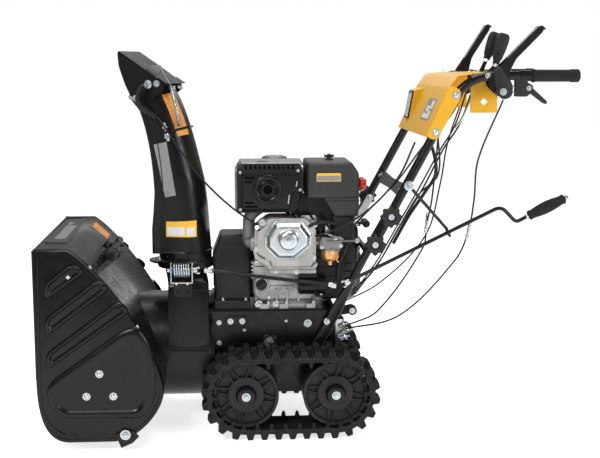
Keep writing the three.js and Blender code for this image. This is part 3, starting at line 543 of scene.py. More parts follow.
def lens_finish():
    """Frosted lamp lens with fine vertical ribs, whose light and dark stripes are painted into its colour.
    """
    finish = Finish("lamp_lens")
    wave = finish.add("ShaderNodeTexWave", {"Vector": finish.place, "Scale": 70.0}, bands_direction="Y")
    # Painted light and shade: the ribs' bright and dark stripes go into the base colour as well as into the
    # bump.
    base = finish.mix(wave.outputs["Fac"], color(0.36, 0.38, 0.40), color(0.62, 0.64, 0.66))
    finish.put(finish.shader, "Base Color", base)
    finish.put(finish.shader, "Roughness", 0.18)
    finish.put(finish.shader, "Coat Weight", 0.8)
    finish.put(finish.shader, "Normal", finish.bump(wave.outputs["Fac"], 0.0008))
    return finish.material


# Where a dust colour is given, upward faces are lightened towards it: partly dust, partly painted sheen.
BLACK = surface("black_powder_coat", color(0.0036, 0.0036, 0.0045), 0.27, 0.0, 0.25, 7, 650, 0.014,
                dust_and_sheen=color(0.032, 0.025, 0.019), dust_and_sheen_share=0.26, shine=0.25)
CLEAN_BLACK = surface("clean_black_coat", color(0.0042, 0.004, 0.004), 0.42, 0.0, 0.2, 9, 650, 0.01,
                      shine=0.14)
TUBE_BLACK = surface("black_tube_enamel", color(0.0046, 0.0046, 0.0053), 0.24, 0.0, 0.2, 12, 500, 0.01,
                     worn=color(0.06, 0.06, 0.06), worn_share=0.15, shine=0.3)
PLASTIC = surface("dark_moulded_plastic", color(0.0125, 0.0125, 0.014), 0.5, 0.0, 0.2, 14, 1200, 0.05,
                  shine=0.26)
COVER_PLASTIC = surface("belt_cover_plastic", color(0.0105, 0.0105, 0.0115), 0.44, 0.0, 0.2, 9, 1500, 0.05,
                        dust_and_sheen=color(0.045, 0.040, 0.035), dust_and_sheen_share=0.35, shine=0.26)
GREY_PLASTIC = surface("grey_moulded_plastic", color(0.0165, 0.0155, 0.0155), 0.48, 0.0, 0.15, 10, 1500,
                       0.07, dust_and_sheen=color(0.07, 0.062, 0.055), dust_and_sheen_share=0.3, shine=0.42)
# Painted shadow: flat near-black stands in for the shade inside vents and holes.
PAINTED_SHADOW = surface("vent_shadow", color(0.0016, 0.0016, 0.0017), 0.8, 0.0, 0.2, 30, 900, 0.02, shine=0.05)
HOSE = surface("black_hose", color(0.0065, 0.0065, 0.007), 0.4, 0.0, 0.2, 30, 900, 0.03, shine=0.28)
GRIP = surface("grip_rubber", color(0.0085, 0.0085, 0.0095), 0.66, 0.0, 0.25, 30, 1100, 0.08, shine=0.22)
ALLOY = cast_finish("cast_alloy", color(0.40, 0.39, 0.375), 0.46)
GREY_STEEL = surface("grey_steel_sheet", color(0.20, 0.195, 0.19), 0.4, 0.8, 0.12, 12, 700, 0.02,
                     dust_and_sheen=color(0.2, 0.19, 0.17), dust_and_sheen_share=0.4)
STEEL = surface("machined_steel", color(0.30, 0.30, 0.31), 0.35, 1.0, 0.12, 20, 400, 0.02)
ZINC = zinc_finish()
BOWL = bowl_finish()
IRON = elbow_finish()
YELLOW = surface("yellow_powder_coat", color(0.62, 0.32, 0.010), 0.36, 0.0, 0.04, 6, 600, 0.02, shine=0.4)
RED = surface("red_plastic", color(0.60, 0.014, 0.009), 0.34, 0.0, 0.08, 30, 900, 0.02, coat=0.3)
RUBBER = rubber_finish()
LENS = lens_finish()
LABEL_ORANGE = surface("orange_label", color(0.66, 0.27, 0.05), 0.45, 0.0, 0.06, 40, 900, 0.01)
LABEL_YELLOW = surface("yellow_label", color(0.72, 0.40, 0.02), 0.42, 0.0, 0.05, 40, 900, 0.01)
LABEL_WHITE = surface("white_label", color(0.58, 0.58, 0.56), 0.45, 0.0, 0.06, 60, 900, 0.01)
LABEL_GREY = surface("grey_label", color(0.20, 0.195, 0.19), 0.4, 0.0, 0.1, 60, 900, 0.01)
LABEL_DARK = surface("dark_label", color(0.026, 0.024, 0.023), 0.3, 0.1, 0.15, 30, 900, 0.01, shine=0.4)


# ------------------------------------------------------------------ auger housing
HOUSING = Span("auger_housing")
SHEET = 3.0
BUCKET_TOP = HOUSING.z1
BUCKET_REAR = PIVOT["auger_spin"].x + 176
DRUM_RADIUS = 160
DRUM_LENGTH = 120
NECK_TOP = 484


def housing_point(forward, up):
    """Point on the side plate, from its lower front corner."""
    return (HOUSING.x0 + forward, HOUSING.z0 + up)


def housing_back(steps=26):
    """Side view of the wrapped sheet, from the top front lip round to the scraper."""
    lip = housing_point(0, 544)
    crest = housing_point(94, 544)
    waist = housing_point(349, 142)
    heel = housing_point(212, 0)
    points = [lip, crest]
    points += bezier(crest, housing_point(177, 491), housing_point(340, 271), waist, steps)
    points += bezier(waist, housing_point(349, 86), housing_point(282, 5), heel, 12)
    points.append(housing_point(88, 0))
    return points


def side_outline():
    nose = bezier(housing_point(88, 0), housing_point(22, 0), housing_point(0, 71), housing_point(0, 184),
                  12)
    return housing_back() + nose


def bead_slot(mesh, side, corners):
    """Pressed slot: a raised rim round a dished middle."""
    face = side * (HOUSING.y1 - 0.2)
    outline = rounded([housing_point(*corner) for corner in corners], 24, 6)
    steps = [(0, -2), (0.5, 0), (2.5, 3.6), (5, 6.6), (7.5, 7.8), (10, 7.0), (13, 3.0), (15, 0.6),
             (16.5, 0.6)]
    pillow(mesh, "y", outline, [(distance, face + side * height) for distance, height in steps])


def bead_frame(mesh, side):
    """Pressed ridge that runs round the skid shoe's mounting panel."""
    face = side * (HOUSING.y1 - 0.2)
    outer = [(236, 320), (280, 334), (313, 290), (330, 200), (327, 122), (306, 84), (280, 67), (70, 72),
             (32, 110), (28, 160), (48, 186)]
    inner = [(250, 278), (269, 282), (284, 252), (290, 195), (288, 125), (282, 104), (270, 96), (78, 97),
             (61, 112), (64, 145), (84, 166)]
    rings = []
    for share, height in ((0, -2), (0.01, 0), (0.12, 4.2), (0.3, 7.4), (0.5, 8.0), (0.72, 6.4),
                          (0.88, 2.0), (0.96, 0.6), (1, 0.6)):
        line = [Vector(a).lerp(Vector(b), share) for a, b in zip(outer, inner)]
        line = rounded([housing_point(*corner) for corner in line], 22, 4)
        rings.append([lift("y", a, b, face + side * height) for a, b in line])
    skin(mesh, rings)


def housing_side(name, side):
    mesh = bmesh.new()
    near, far = side * (HOUSING.y1 - SHEET), side * HOUSING.y1
    outline = side_outline()
    pillow(mesh, "y", outline, [(0, near), (0, far - side * 2.2), (0.8, far - side * 0.7), (2.4, far)])
    slots = (
        [(29, 456), (104, 513), (150, 487), (29, 403)],
        [(28, 358), (172, 467), (213, 440), (28, 301)],
        [(28, 259), (230, 407), (266, 375), (28, 206)],
    )
    for corners in slots:
        bead_slot(mesh, side, corners)
    bead_frame(mesh, side)
    edge = inset(outline, 9)
    rim = [lift("y", a, b, far) for a, b in edge[1:44]]
    tube(mesh, rim, 1.7, 8)
    fold = [housing_point(15, 515), housing_point(11, 116)]
    fold += bezier(fold[-1], housing_point(20, 68), housing_point(38, 40), housing_point(76, 24), 8)
    tube(mesh, [lift("y", a, b, far) for a, b in stretched(fold, 30)], 2.0, 8)
    for forward in (102, 181):
        spot = lift("y", *housing_point(forward, 22), far + side * 0.4)
        lathe(mesh, spot, (0, side, 0), [(5.5, -1), (5.5, 0.5), (3.6, 0.5), (3.6, -0.6)], 16)
    piece(name, "chassis", BLACK, mesh, smooth=50)


def wrapped_sheet():
    """Curved back of the housing with two pressed lines along each side."""
    mesh = bmesh.new()
    half = HOUSING.y1 - SHEET
    section = [(-half, 0)]
    lines = (-half + 14, -half + 27, half - 27, half - 14)
    for line in lines:
        section += [(line - 4, 0), (line - 1.5, 1.8), (line + 1.5, 1.8), (line + 4, 0)]
    section.append((half, 0))
    path = [Vector(point) for point in housing_back(30)]
    path = [path[0]] + [path[0].lerp(path[1], 0.5)] + path[1:]
    rings = []
    for i, point in enumerate(path):
        heading = (path[min(i + 1, len(path) - 1)] - path[max(i - 1, 0)]).normalized()
        normal = Vector((-heading.y, heading.x))
        outside = [(y, normal * height) for y, height in section]
        inside = [(y, normal * (height - SHEET)) for y, height in section[::-1]]
        rings.append([(point.x + off.x, y, point.y + off.y) for y, off in outside + inside])
    skin(mesh, rings)
    piece("housing_wrap", "chassis", BLACK, mesh, smooth=40)


def impeller_drum():
    """Round drum behind the bucket, the neck that rises from it and the flange under the chute."""
    mesh = bmesh.new()
    axis = PIVOT["impeller_spin"]
    chute = PIVOT["chute_rotate"]
    radius = DRUM_RADIUS
    drum = [(radius, -450), (radius, -8), (radius + 5, -6), (radius + 5, 0), (radius - 3, 0), (16, -1.5),
            (16, -4.5), (radius - 3, -6), (radius - 3, -450)]
    rear = (HOUSING.x1, axis.y, axis.z)
    profile = [(r, max(height, BUCKET_REAR - DRUM_LENGTH - HOUSING.x1)) for r, height in drum]
    lathe(mesh, rear, (1, 0, 0), profile, 64, "join")
    top = NECK_TOP
    collar = [(60, -20), (60, -6), (64, -4), (82, -4), (82, 0), (57, 0), (57, -20)]
    lathe(mesh, (chute.x, chute.y, top), (0, 0, 1), collar, 48, "join")
    neck_duct(mesh, top)
    for degrees in (12, 132, 252):
        bolt(mesh, (*on_circle(chute, 72, degrees), top - 4), (0, 0, -1), 4.5)
    piece("impeller_drum", "chassis", BLACK, mesh, smooth=40)


def neck_duct(mesh, top):
    """Duct that changes from a box on the drum's side to a round collar under the chute."""
    axis = PIVOT["impeller_spin"]
    chute = PIVOT["chute_rotate"]
    middle = Vector((chute.x + 9, chute.y - 26))
    half = 61

    def ring(offset, height, squareness, on_drum=False):
        points = []
        for k in range(64):
            angle = 2 * math.pi * k / 64
            flat = Vector((math.cos(angle), math.sin(angle)))
            reach = max(abs(flat.x), abs(flat.y)) ** squareness
            centre = Vector((chute.x, chute.y)).lerp(middle, squareness)
            spot = centre + flat * (half - 1 - offset) / reach
            z = height
            if on_drum:
                z = axis.z + math.sqrt(max(0.0, DRUM_RADIUS ** 2 - spot.y ** 2))
            points.append((spot.x, spot.y, z))
        return points

    stations = (
        (top - 4, 0.0, False),
        (top - 20, 0.0, False),
        (top - 34, 0.45, False),
        (top - 48, 0.82, False),
        (top - 62, 0.94, False),
        (axis.z, 0.94, True),
    )
    outside = [ring(0, *station) for station in stations]
    inside = [ring(3, *station) for station in stations]
    skin(mesh, outside + inside[::-1], "join")
    near = middle.y - half
    tube(mesh, [(middle.x - half + 4, near, axis.z + 12), (middle.x + half - 4, near, axis.z + 12)], 2.2, 8)
    tube(mesh, [(middle.x - half + 4, near, top - 62), (middle.x + half - 4, near, top - 62)], 1.6, 8)


def housing_inside_rim():
    """Stiffening lip round the housing's mouth."""
    mesh = bmesh.new()
    half = HOUSING.y1 - 1.5
    for side in (LEFT, RIGHT):
        front = [housing_point(1.5, 184), housing_point(1.5, 542)]
        tube(mesh, [lift("y", a, b, side * half) for a, b in front], 2.2, 8)
    top = (HOUSING.x0 + 1.5, BUCKET_TOP - 2)
    tube(mesh, [(top[0], -half, top[1]), (top[0], half, top[1])], 3.0, 10)
    piece("housing_mouth_rim", "chassis", BLACK, mesh)


def on_back(forward_share, y, height):
    """Point above the wrapped sheet at a share along its curve, with the sheet's slope."""
    path = [Vector(point) for point in housing_back(60)]
    place = forward_share * (len(path) - 1)
    i = min(int(place), len(path) - 2)
    point = path[i].lerp(path[i + 1], place - i)
    heading = (path[i + 1] - path[i]).normalized()
    normal = Vector((-heading.y, heading.x))
    point = point + normal * height
    matrix = Matrix((
        (heading.x, 0, normal.x, point.x), (0, 1, 0, y), (heading.y, 0, normal.y, point.y), (0, 0, 0, 1),
    ))
    return matrix


def housing_labels():
    """Blank plate on the lip and a blank sticker on the slope."""
    mesh = bmesh.new()
    x0, x1 = HOUSING.x0 + 12, HOUSING.x0 + 76
    outline = box_outline(x0, x1, -205, 265, 8)
    pillow(mesh, "z", outline, [(0, BUCKET_TOP - 0.5), (0, BUCKET_TOP + 1.2), (1.2, BUCKET_TOP + 2)])
    piece("lip_plate", "chassis", LABEL_DARK, mesh, smooth=30)
    mesh = bmesh.new()
    outline = box_outline(x0 + 20, x1 - 12, -150, 120, 3)
    prism(mesh, "z", outline, BUCKET_TOP + 1.5, BUCKET_TOP + 2.6)
    outline = box_outline(x0 + 20, x1 - 30, 135, 190, 3)
    prism(mesh, "z", outline, BUCKET_TOP + 1.5, BUCKET_TOP + 2.6)
    piece("lip_plate_panel", "chassis", LABEL_GREY, mesh, smooth=30)
    mesh = bmesh.new()
    place = on_back(0.115, 205, 0)
    outline = box_outline(-31, 31, -46, 46, 4)
    moved(prism(mesh, "z", outline, -0.5, 1.0), place)
    piece("slope_sticker", "chassis", LABEL_ORANGE, mesh, smooth=30)


def housing_bolts():
    mesh = bmesh.new()
    for side in (LEFT, RIGHT):
        face = side * (HOUSING.y1 + 0.4)
        for forward, up in ((174, 197), (137, 133), (211, 132)):
            bolt(mesh, lift("y", *housing_point(forward, up), face), (0, side, 0), 7.5, 6, True, True)
        square = lift("y", *housing_point(97, 472), face + side * 1.5)
        lathe(mesh, square, (0, side, 0), [(7.5, 0), (7.5, 3), (6.0, 4)], 4)
    for share, y in ((0.18, 330), (0.18, -330), (0.5, 332), (0.5, -332)):
        matrix = on_back(share, y, 2.0)
        bolt(mesh, matrix.translation, matrix.col[2].to_3d(), 5, 4, True, True)
    piece("housing_bolts", "chassis", ZINC, mesh)


def skid_shoe(side, node):
    shoe = frame["nodes"][node]
    shoe.data.materials.clear()
    shoe.data.materials.append(BLACK)
    soften(shoe, 1.2 * MM, 3)
    span = Span(node)
    mesh = bmesh.new()
    outer = span.y0 if side == LEFT else span.y1
    bolt(mesh, ((span.x0 + span.x1) / 2 - 5, outer, span.z0 + 38), (0, side, 0), 10, 7)
    piece(node + "_bolt", "chassis", ZINC, mesh)


def clean_out_tool():
    """Stick with a ribbed handle and a hollow end drawn as a dark disc of painted shadow, held by a sprung
    clip.
    """
    tool = Span("clean_out_tool")
    x, z = tool.x1 - 17, tool.z1 - 17
    mesh = bmesh.new()
    profile = [(11, 0), (15, 2), (17, 8), (17, 20), (15, 26), (11.5, 30), (11.5, 44), (18, 46), (19, 50),
               (19, 54), (18, 58), (14, 60), (13, 72), (16, 76), (16, 84), (12, 90), (12, 130),
               (13.5, 134), (13.5, 142), (12, 146), (12, 292), (8, 300)]
    lathe(mesh, (x, tool.y0, z), (0, 1, 0), profile, 32)
    piece("clean_out_tool", "chassis", PLASTIC, mesh, smooth=35, replaces=["clean_out_tool"])
    # Painted shadow: a thin dark disc on the end stands for the shaded inside of the hollow end.
    mesh = bmesh.new()
    lathe(mesh, (x, tool.y0 - 0.3, z), (0, 1, 0), [(8.5, 0), (8.5, 1.2)], 20)
    piece("clean_out_tool_bore_shadow", "chassis", HOSE, mesh)
    mesh = bmesh.new()
    middle = tool.y0 + 205
    turn = Matrix.Translation((x, middle, z)) @ Matrix.Rotation(math.radians(49), 4, "Y")
    outline = [(-16, -25), (16, -25), (16, -10), (12.4, -6), (12.4, 4), (17, 14), (14, 24), (9, 12),
               (-9, 12), (-14, 24), (-17, 14), (-12.4, 4), (-12.4, -6), (-16, -10)]
    clip = prism(mesh, "y", outline, -14, 14)
    clip += block(mesh, -30, 30, -42, 40, -23, -19)
    clip += block(mesh, -30, -25, -42, 40, -20, -8)
    clip += block(mesh, 25, 30, -42, 40, -20, -8)
    moved(clip, turn)
    piece("tool_clip", "chassis", PLASTIC, mesh, 1.2)


for shell_side, shell_name in ((LEFT, "housing_left_side"), (RIGHT, "housing_right_side")):
    housing_side(shell_name, shell_side)
wrapped_sheet()
impeller_drum()
housing_inside_rim()
housing_labels()
housing_bolts()
skid_shoe(LEFT, "left_skid_shoe")
skid_shoe(RIGHT, "right_skid_shoe")
clean_out_tool()
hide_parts("auger_housing")
carried("scraper_bar", STEEL, 0.8)


# ------------------------------------------------------------------ augers and impeller
def toothed_auger(name, side):
    """Two ribbons with saw-toothed outer edges, on spokes welded to a tube."""
    span = Span(name)
    axis = PIVOT["auger_spin"]
    inner = min(abs(span.y0), abs(span.y1))
    outer = max(abs(span.y0), abs(span.y1))
    mesh = bmesh.new()
    profile = [(17, inner), (17, outer)]
    lathe(mesh, (axis.x, 0, axis.z), (0, side, 0), profile, 28)
    first, last = inner + 14, outer - 8
    turns = 0.8
    steps = 96
    for start in (0, math.pi):
        rings = []
        for i in range(steps + 1):
            share = i / steps
            angle = start + 2 * math.pi * turns * share * -side
            y = first + (last - first) * share
            tooth = 4.5 if i % 4 < 2 else 0
            ring = []
            for radius, offset in ((106, -1.8), (134 + tooth, -1.8), (134 + tooth, 1.8), (106, 1.8)):
                ring.append((axis.x + radius * math.cos(angle), side * (y + offset),
                             axis.z + radius * math.sin(angle)))
            rings.append(ring)
        skin(mesh, rings)
        for share in (0.1, 0.5, 0.9):
            angle = start + 2 * math.pi * turns * share * -side
            y = side * (first + (last - first) * share)
            out = Vector((math.cos(angle), 0, math.sin(angle)))
            centre = Vector((axis.x, y, axis.z))
            tube(mesh, [centre + out * 14, centre + out * 112], 7, 12)
    bolt(mesh, (axis.x, side * (inner + 8), axis.z + 17), (0, 0, 1), 6)
    piece(name, "auger", BLACK, mesh, smooth=30, replaces=[name])


def gearbox():
    """Cast case in two bolted halves round the worm and its wheel."""
    axis = PIVOT["auger_spin"]
    shaft = PIVOT["impeller_spin"]
    mesh = bmesh.new()
    case = [(30, -34), (40, -31), (45, -26), (45, -4), (50, -4), (50, 4), (45, 4), (45, 26), (40, 31),
            (30, 34)]
    lathe(mesh, (axis.x, 0, axis.z), (0, 1, 0), case, 40)
    neck = [(20, -66), (25, -62), (25, 44), (30, 48), (30, 60), (24, 68)]
    lathe(mesh, (axis.x, 0, shaft.z), (1, 0, 0), neck, 32)
    for degrees in range(20, 380, 60):
        spot = lift("y", *on_circle((axis.x, axis.z), 46, degrees), 4)
        lathe(mesh, spot, (0, -1, 0), [(6, -1), (6, 9)], 16)
    piece("gearbox_case", "chassis", ALLOY, mesh, 1.0, replaces=["gearbox_case"])
    mesh = bmesh.new()
    for degrees in range(20, 380, 60):
        bolt(mesh, lift("y", *on_circle((axis.x, axis.z), 46, degrees), -5), (0, -1, 0), 4)
    piece("gearbox_bolts", "chassis", ZINC, mesh)


def impeller():
    """Four blades with folded tips on a hub."""
    axis = PIVOT["impeller_spin"]
    span = Span("impeller")
    mesh = bmesh.new()
    lathe(mesh, (span.x0, axis.y, axis.z), (1, 0, 0), [(18, 0), (24, 4), (24, span.x1 - span.x0)], 32)
    for i in range(4):
        turn = Matrix.Translation(axis) @ Matrix.Rotation(math.pi / 2 * i + 0.4, 4, "X")
        x0, x1 = span.x0 - axis.x, span.x1 - axis.x
        profile = [(-2, 20), (2, 20), (2, 142), (14, 149), (13, 151.5), (-2, 146)]
        moved(prism(mesh, "x", profile, x0, x1), turn)
    piece("impeller", "impeller", BLACK, mesh, 0.8, replaces=["impeller"])


toothed_auger("left_auger", LEFT)
toothed_auger("right_auger", RIGHT)
gearbox()
impeller()
carried("auger_shaft", STEEL)
carried("impeller_shaft", STEEL)


# ------------------------------------------------------------------ chute
CHUTE = PIVOT["chute_rotate"]
CHUTE_TURN = Matrix.Translation((CHUTE.x, CHUTE.y, 0)) @ Matrix.Rotation(math.radians(-18), 4, "Z")
HINGE_Z = PIVOT["deflector_tilt"].z
CHUTE_BASE = HINGE_Z - 420
CHUTE_FOOT = HINGE_Z - 493
CHUTE_HALF = 74
CHUTE_CORNER = 66


def chute_stations():
    """Front and back points of the channel's cross-sections, from the foot to the mouth."""
    base = CHUTE_BASE
    front = [(-76, CHUTE_FOOT), (-76, base), (-70, base + 55), (-66, base + 110)]
    front += bezier((-66, base + 110), (-70, base + 205), (-83, base + 282), (-107, base + 346), 9)
    front += [(-124, base + 367), (-140, base + 386)]
    back = [(76, CHUTE_FOOT), (71, base), (66, base + 70), (57, base + 143)]
    back += bezier((57, base + 143), (34, base + 235), (8, base + 352), (-36, base + 416), 11)
    return list(zip(front, back))


def channel_ring(front, back, half, corner, lip):
    """U-shaped wall between a front and a back point, with a folded lip on its front edges."""
    front, back = Vector((front[0], 0, front[1])), Vector((back[0], 0, back[1]))
    run = back - front
    length = run.length
    heading = run.normalized()

    def wall(offset):
        side = half - offset
        radius = corner - offset
        reach = length - corner
        points = [(0, side + lip - 0.5), (9, side + lip - 0.5), (13, side + lip * 0.4), (17, side)]
        points += [(reach * share, side) for share in (0.45, 0.75)]
        for angle in range(0, 91, 9):
            turn = math.radians(angle)
            points.append((reach + radius * math.sin(turn), half - corner + radius * math.cos(turn)))
        return points + [(along, -side) for along, side in points[::-1]]

    ring = []
    for along, side in wall(0) + wall(SHEET)[::-1]:
        ring.append(tuple(front + heading * along + Vector((0, side, 0))))
    return ring


def chute():
    mesh = bmesh.new()
    skin(mesh, [channel_ring(front, back, CHUTE_HALF, CHUTE_CORNER, 2.0) for front,
                back in chute_stations()])
    ring = NECK_TOP + 0.6
    foot = [(78, ring + 20), (84, ring + 15), (84, ring), (61, ring), (61, ring + 15), (74, ring + 20),
            (74, CHUTE_FOOT + 4), (78, CHUTE_FOOT + 4)]
    lathe(mesh, (0, 0, 0), (0, 0, 1), foot, 56, "join")
    lip = [(-96, -40), (-70, -62), (-62, -30), (-62, 30), (-70, 62), (-96, 40), (-112, 14), (-112, -14)]
    prism(mesh, "z", rounded(lip, 10), ring + 7, ring + 12)
    moved(mesh.verts, CHUTE_TURN)
    piece("chute", "chute", BLACK, mesh, smooth=42, replaces=["chute"])


def chute_seam():
    """Rolled seam where the channel meets its round foot, and the ridge up each front edge."""
    mesh = bmesh.new()
    for side in (LEFT, RIGHT):
        line = []
        for front, back in chute_stations():
            start, end = Vector(front), Vector(back)
            spot = start + (end - start).normalized() * 27
            line.append((spot.x, side * (CHUTE_HALF + 0.3), spot.y))
        tube(mesh, line, 1.8, 8)
    seam = [channel_point(CHUTE_FOOT + 5, -70 + 14 * k, 0.6) for k in range(16)]
    seam += [Vector((point.x, -point.y, point.z)) for point in seam[::-1]]
    tube(mesh, seam, 3.0, 8)
    moved(mesh.verts, CHUTE_TURN)
    piece("chute_seams", "chute", BLACK, mesh)


def channel_point(height, x, lift_off):
    """Point on the channel's near outside, at a height.

    The x counts along the flat face and round the corner.
    """
    stations = chute_stations()
    middles = [(front[1] + back[1]) / 2 for front, back in stations]
    i = max(k for k in range(len(stations) - 1) if middles[k] <= height or k == 0)
    share = (height - middles[i]) / (middles[i + 1] - middles[i])
    front = Vector(stations[i][0]).lerp(Vector(stations[i + 1][0]), share)
    back = Vector(stations[i][1]).lerp(Vector(stations[i + 1][1]), share)
    heading = (back - front).normalized()
    along = (x - front.x) / heading.x
    reach = (back - front).length - CHUTE_CORNER
    side = -CHUTE_HALF - lift_off
    if along > reach:
        angle = min((along - reach) / CHUTE_CORNER, math.pi / 2)
        along = reach + (CHUTE_CORNER + lift_off) * math.sin(angle)
        side = -(CHUTE_HALF - CHUTE_CORNER) - (CHUTE_CORNER + lift_off) * math.cos(angle)
    spot = front + heading * along
    return Vector((spot.x, side, spot.y))


def chute_labels():
    """Blank stickers that follow the channel's near face round its corner."""
    def sticker(name, material, low, high, x_low, x_high, thick=1.0):
        mesh = bmesh.new()
        rings = []
        rows = 10
        for row in range(rows + 1):
            share = row / rows
            height = low + (high - low) * share
            start = x_low[0] + (x_high[0] - x_low[0]) * share
            end = x_low[1] + (x_high[1] - x_low[1]) * share
            line = [start + (end - start) * k / 12 for k in range(13)]
            outside = [channel_point(height, x, thick) for x in line]
            inside = [channel_point(height, x, -0.5) for x in line]
            rings.append(outside + inside[::-1])
        skin(mesh, rings)
        moved(mesh.verts, CHUTE_TURN)
        piece(name, "chute", material, mesh, smooth=50)

    base = CHUTE_BASE
    sticker("chute_sticker", LABEL_YELLOW, base - 21, base + 25, (-32, 60), (-32, 60))
    sticker("chute_sticker_left", LABEL_WHITE, base - 17, base + 9, (-28, 24), (-28, 24), 1.4)
    sticker("chute_sticker_right", LABEL_WHITE, base - 17, base + 7, (30, 54), (30, 54), 1.4)
    sticker("chute_name_strip", LABEL_GREY, base + 101, base + 257, (-33, 0), (-66, -27))


def chute_mouth_label():
    """Orange sticker round the corner of the chute's back, below the hinge."""
    mesh = bmesh.new()
    rings = []
    for front, back in chute_stations()[8:14]:
        start, end = Vector((front[0], 0, front[1])), Vector((back[0], 0, back[1]))
        heading = (end - start).normalized()
        reach = (end - start).length - CHUTE_CORNER

        def corner(radius):
            middle = start + heading * reach + Vector((0, CHUTE_CORNER - CHUTE_HALF, 0))
            angles = [math.radians(degrees) for degrees in (42, 52, 62, 72, 82)]
            return [middle + heading * radius * math.sin(a) - Vector((0, radius * math.cos(a), 0))
                    for a in angles]

        rings.append(corner(CHUTE_CORNER + 1) + corner(CHUTE_CORNER - 0.5)[::-1])
    skin(mesh, rings)
    moved(mesh.verts, CHUTE_TURN)
    piece("chute_back_sticker", "chute", LABEL_ORANGE, mesh)


def chute_hardware():
    """Bolts at the foot and the hinge."""
    mesh = bmesh.new()
    bolt(mesh, (-57, -CHUTE_HALF - 2, CHUTE_FOOT - 14), (0, -1, 0), 5.5)
    bolt(mesh, (-92, -14, 497), (0, 0, 1), 5.5)
    bolt(mesh, (-84, -38, 497), (0, 0, 1), 4.5)
    bolt(mesh, (-84, 38, 497), (0, 0, 1), 4.5)
    for side in (LEFT, RIGHT):
        bolt(mesh, (-52, side * (CHUTE_HALF + 4.5), HINGE_Z + 4), (0, side, 0), 6.5)
    for y in (-46, -22, 22, 46):
        bolt(mesh, (-22, y, HINGE_Z - 8), (0.72, 0, 0.7), 5)
    moved(mesh.verts, CHUTE_TURN)
    piece("chute_bolts", "chute", ZINC, mesh)


def cable_stay():
    """Bent bracket low on the channel's back that holds the tilt cable's end."""
    mesh = bmesh.new()
    outline = rounded([(-30, HINGE_Z - 133), (52, HINGE_Z - 113), (56, HINGE_Z - 119),
                       (-26, HINGE_Z - 140)], 2)
    prism(mesh, "y", outline, -CHUTE_HALF - 20, -CHUTE_HALF + 6)
    moved(mesh.verts, CHUTE_TURN)
    piece("tilt_cable_stay", "chute", BLACK, mesh, 1.0)
    mesh = bmesh.new()
    start = Vector((-28, -CHUTE_HALF - 12, HINGE_Z - 106))
    end = Vector((-16, -CHUTE_HALF - 12, HINGE_Z - 160))
    lathe(mesh, end, start - end, [(4.5, 0), (4.5, 14), (7, 16), (7, 22), (4.5, 24), (4.5, 34), (3, 38),
                                   (3, 54)], 16)
    for height in (38, 10):
        spot = end.lerp(start, height / 55)
        lathe(mesh, spot, start - end, [(8, 0), (8, 5)], 6)
    top = Vector((-13, -58, HINGE_Z - 8))
    coil(mesh, Vector((7, -58, HINGE_Z - 106)), top, 5.5, 1.4, 26)
    tube(mesh, [top, (-30, -58, HINGE_Z + 22), (-47, -58, HINGE_Z + 52)], 1.6, 8)
    bolt(mesh, (6, -58, HINGE_Z - 112), (0.9, -0.2, 0.35), 6)
    moved(mesh.verts, CHUTE_TURN)
    piece("tilt_cable_end", "chute", ZINC, mesh)


def chute_deflector():
    """Cap over the chute's mouth, with a folded top and cheeks outside the channel."""
    mesh = bmesh.new()
    inside = CHUTE_HALF + 1
    outside = inside + 3.4
    hinge = HINGE_Z
    cheek = [(-30, hinge - 13), (-34, hinge + 7), (-50, hinge + 19), (-166, hinge + 97),
             (-171, hinge + 91), (-168, hinge + 54), (-150, hinge + 2), (-122, hinge - 55),
             (-102, hinge - 72), (-66, hinge - 42)]
    outline = rounded(cheek, 7)
    for side in (LEFT, RIGHT):
        low, high = sorted((side * inside, side * outside))
        prism(mesh, "y", outline, low, high)
    top = [(-50, hinge + 19), (-106, hinge + 58), (-166, hinge + 97), (-168.2, hinge + 93.6),
           (-108.2, hinge + 54.6), (-52.2, hinge + 15.6)]
    prism(mesh, "y", top, -outside, outside)
    lip = [(x, 0, z) for x, z in ((-166, hinge + 96), (-170, hinge + 90))]
    tube(mesh, [(lip[1][0] + 2, -outside, lip[1][2] + 3), (lip[1][0] + 2, outside, lip[1][2] + 3)], 2.4, 10)
    plate = [(-50, hinge + 17), (-26, hinge + 2), (-20, hinge + 4), (-48, hinge + 22)]
    prism(mesh, "y", plate, -outside, outside)
    moved(mesh.verts, CHUTE_TURN)
    piece("chute_deflector", "deflector", CLEAN_BLACK, mesh, 0.6, replaces=["chute_deflector"])


def deflector_ear():
    """Upright tab on the deflector that the tension spring pulls, and the cheek's wing nut."""
    mesh = bmesh.new()
    hinge = HINGE_Z
    ear = rounded([(-104, hinge + 44), (-60, hinge + 26), (-42, hinge + 46), (-46, hinge + 57),
                   (-76, hinge + 56)], 4)
    prism(mesh, "y", ear, -59.5, -56.5)
    moved(mesh.verts, CHUTE_TURN)
    piece("deflector_ear", "deflector", GREY_STEEL, mesh, 0.6)
    mesh = bmesh.new()
    spot = Vector((-118, -CHUTE_HALF - 3.5, hinge - 38))
    bolt(mesh, spot, (0, -1, 0), 6.5)
    for lean in (-1, 1):
        wing = [(4 * lean, 2), (15 * lean, 9), (19 * lean, 5), (15 * lean, -3), (4 * lean, -4)]
        outline = [(spot.x + a, spot.z + b) for a, b in wing]
        prism(mesh, "y", outline, spot.y - 10, spot.y - 6)
    knob = Vector((-76, -CHUTE_HALF - 3.5, hinge + 2))
    lathe(mesh, knob, (0, -1, 0), [(10, 0), (12, 4), (12, 9), (6, 10), (6, 13)], 20)
    slot = rounded([(-134, hinge + 14), (-126, hinge + 10), (-118, hinge - 28), (-126, hinge - 26)], 4)
    prism(mesh, "y", slot, -CHUTE_HALF - 3.9, -CHUTE_HALF - 3.2)
    moved(mesh.verts, CHUTE_TURN)
    piece("deflector_hardware", "deflector", ZINC, mesh)


chute()
chute_seam()
chute_labels()
chute_mouth_label()
chute_hardware()
cable_stay()
chute_deflector()
deflector_ear()


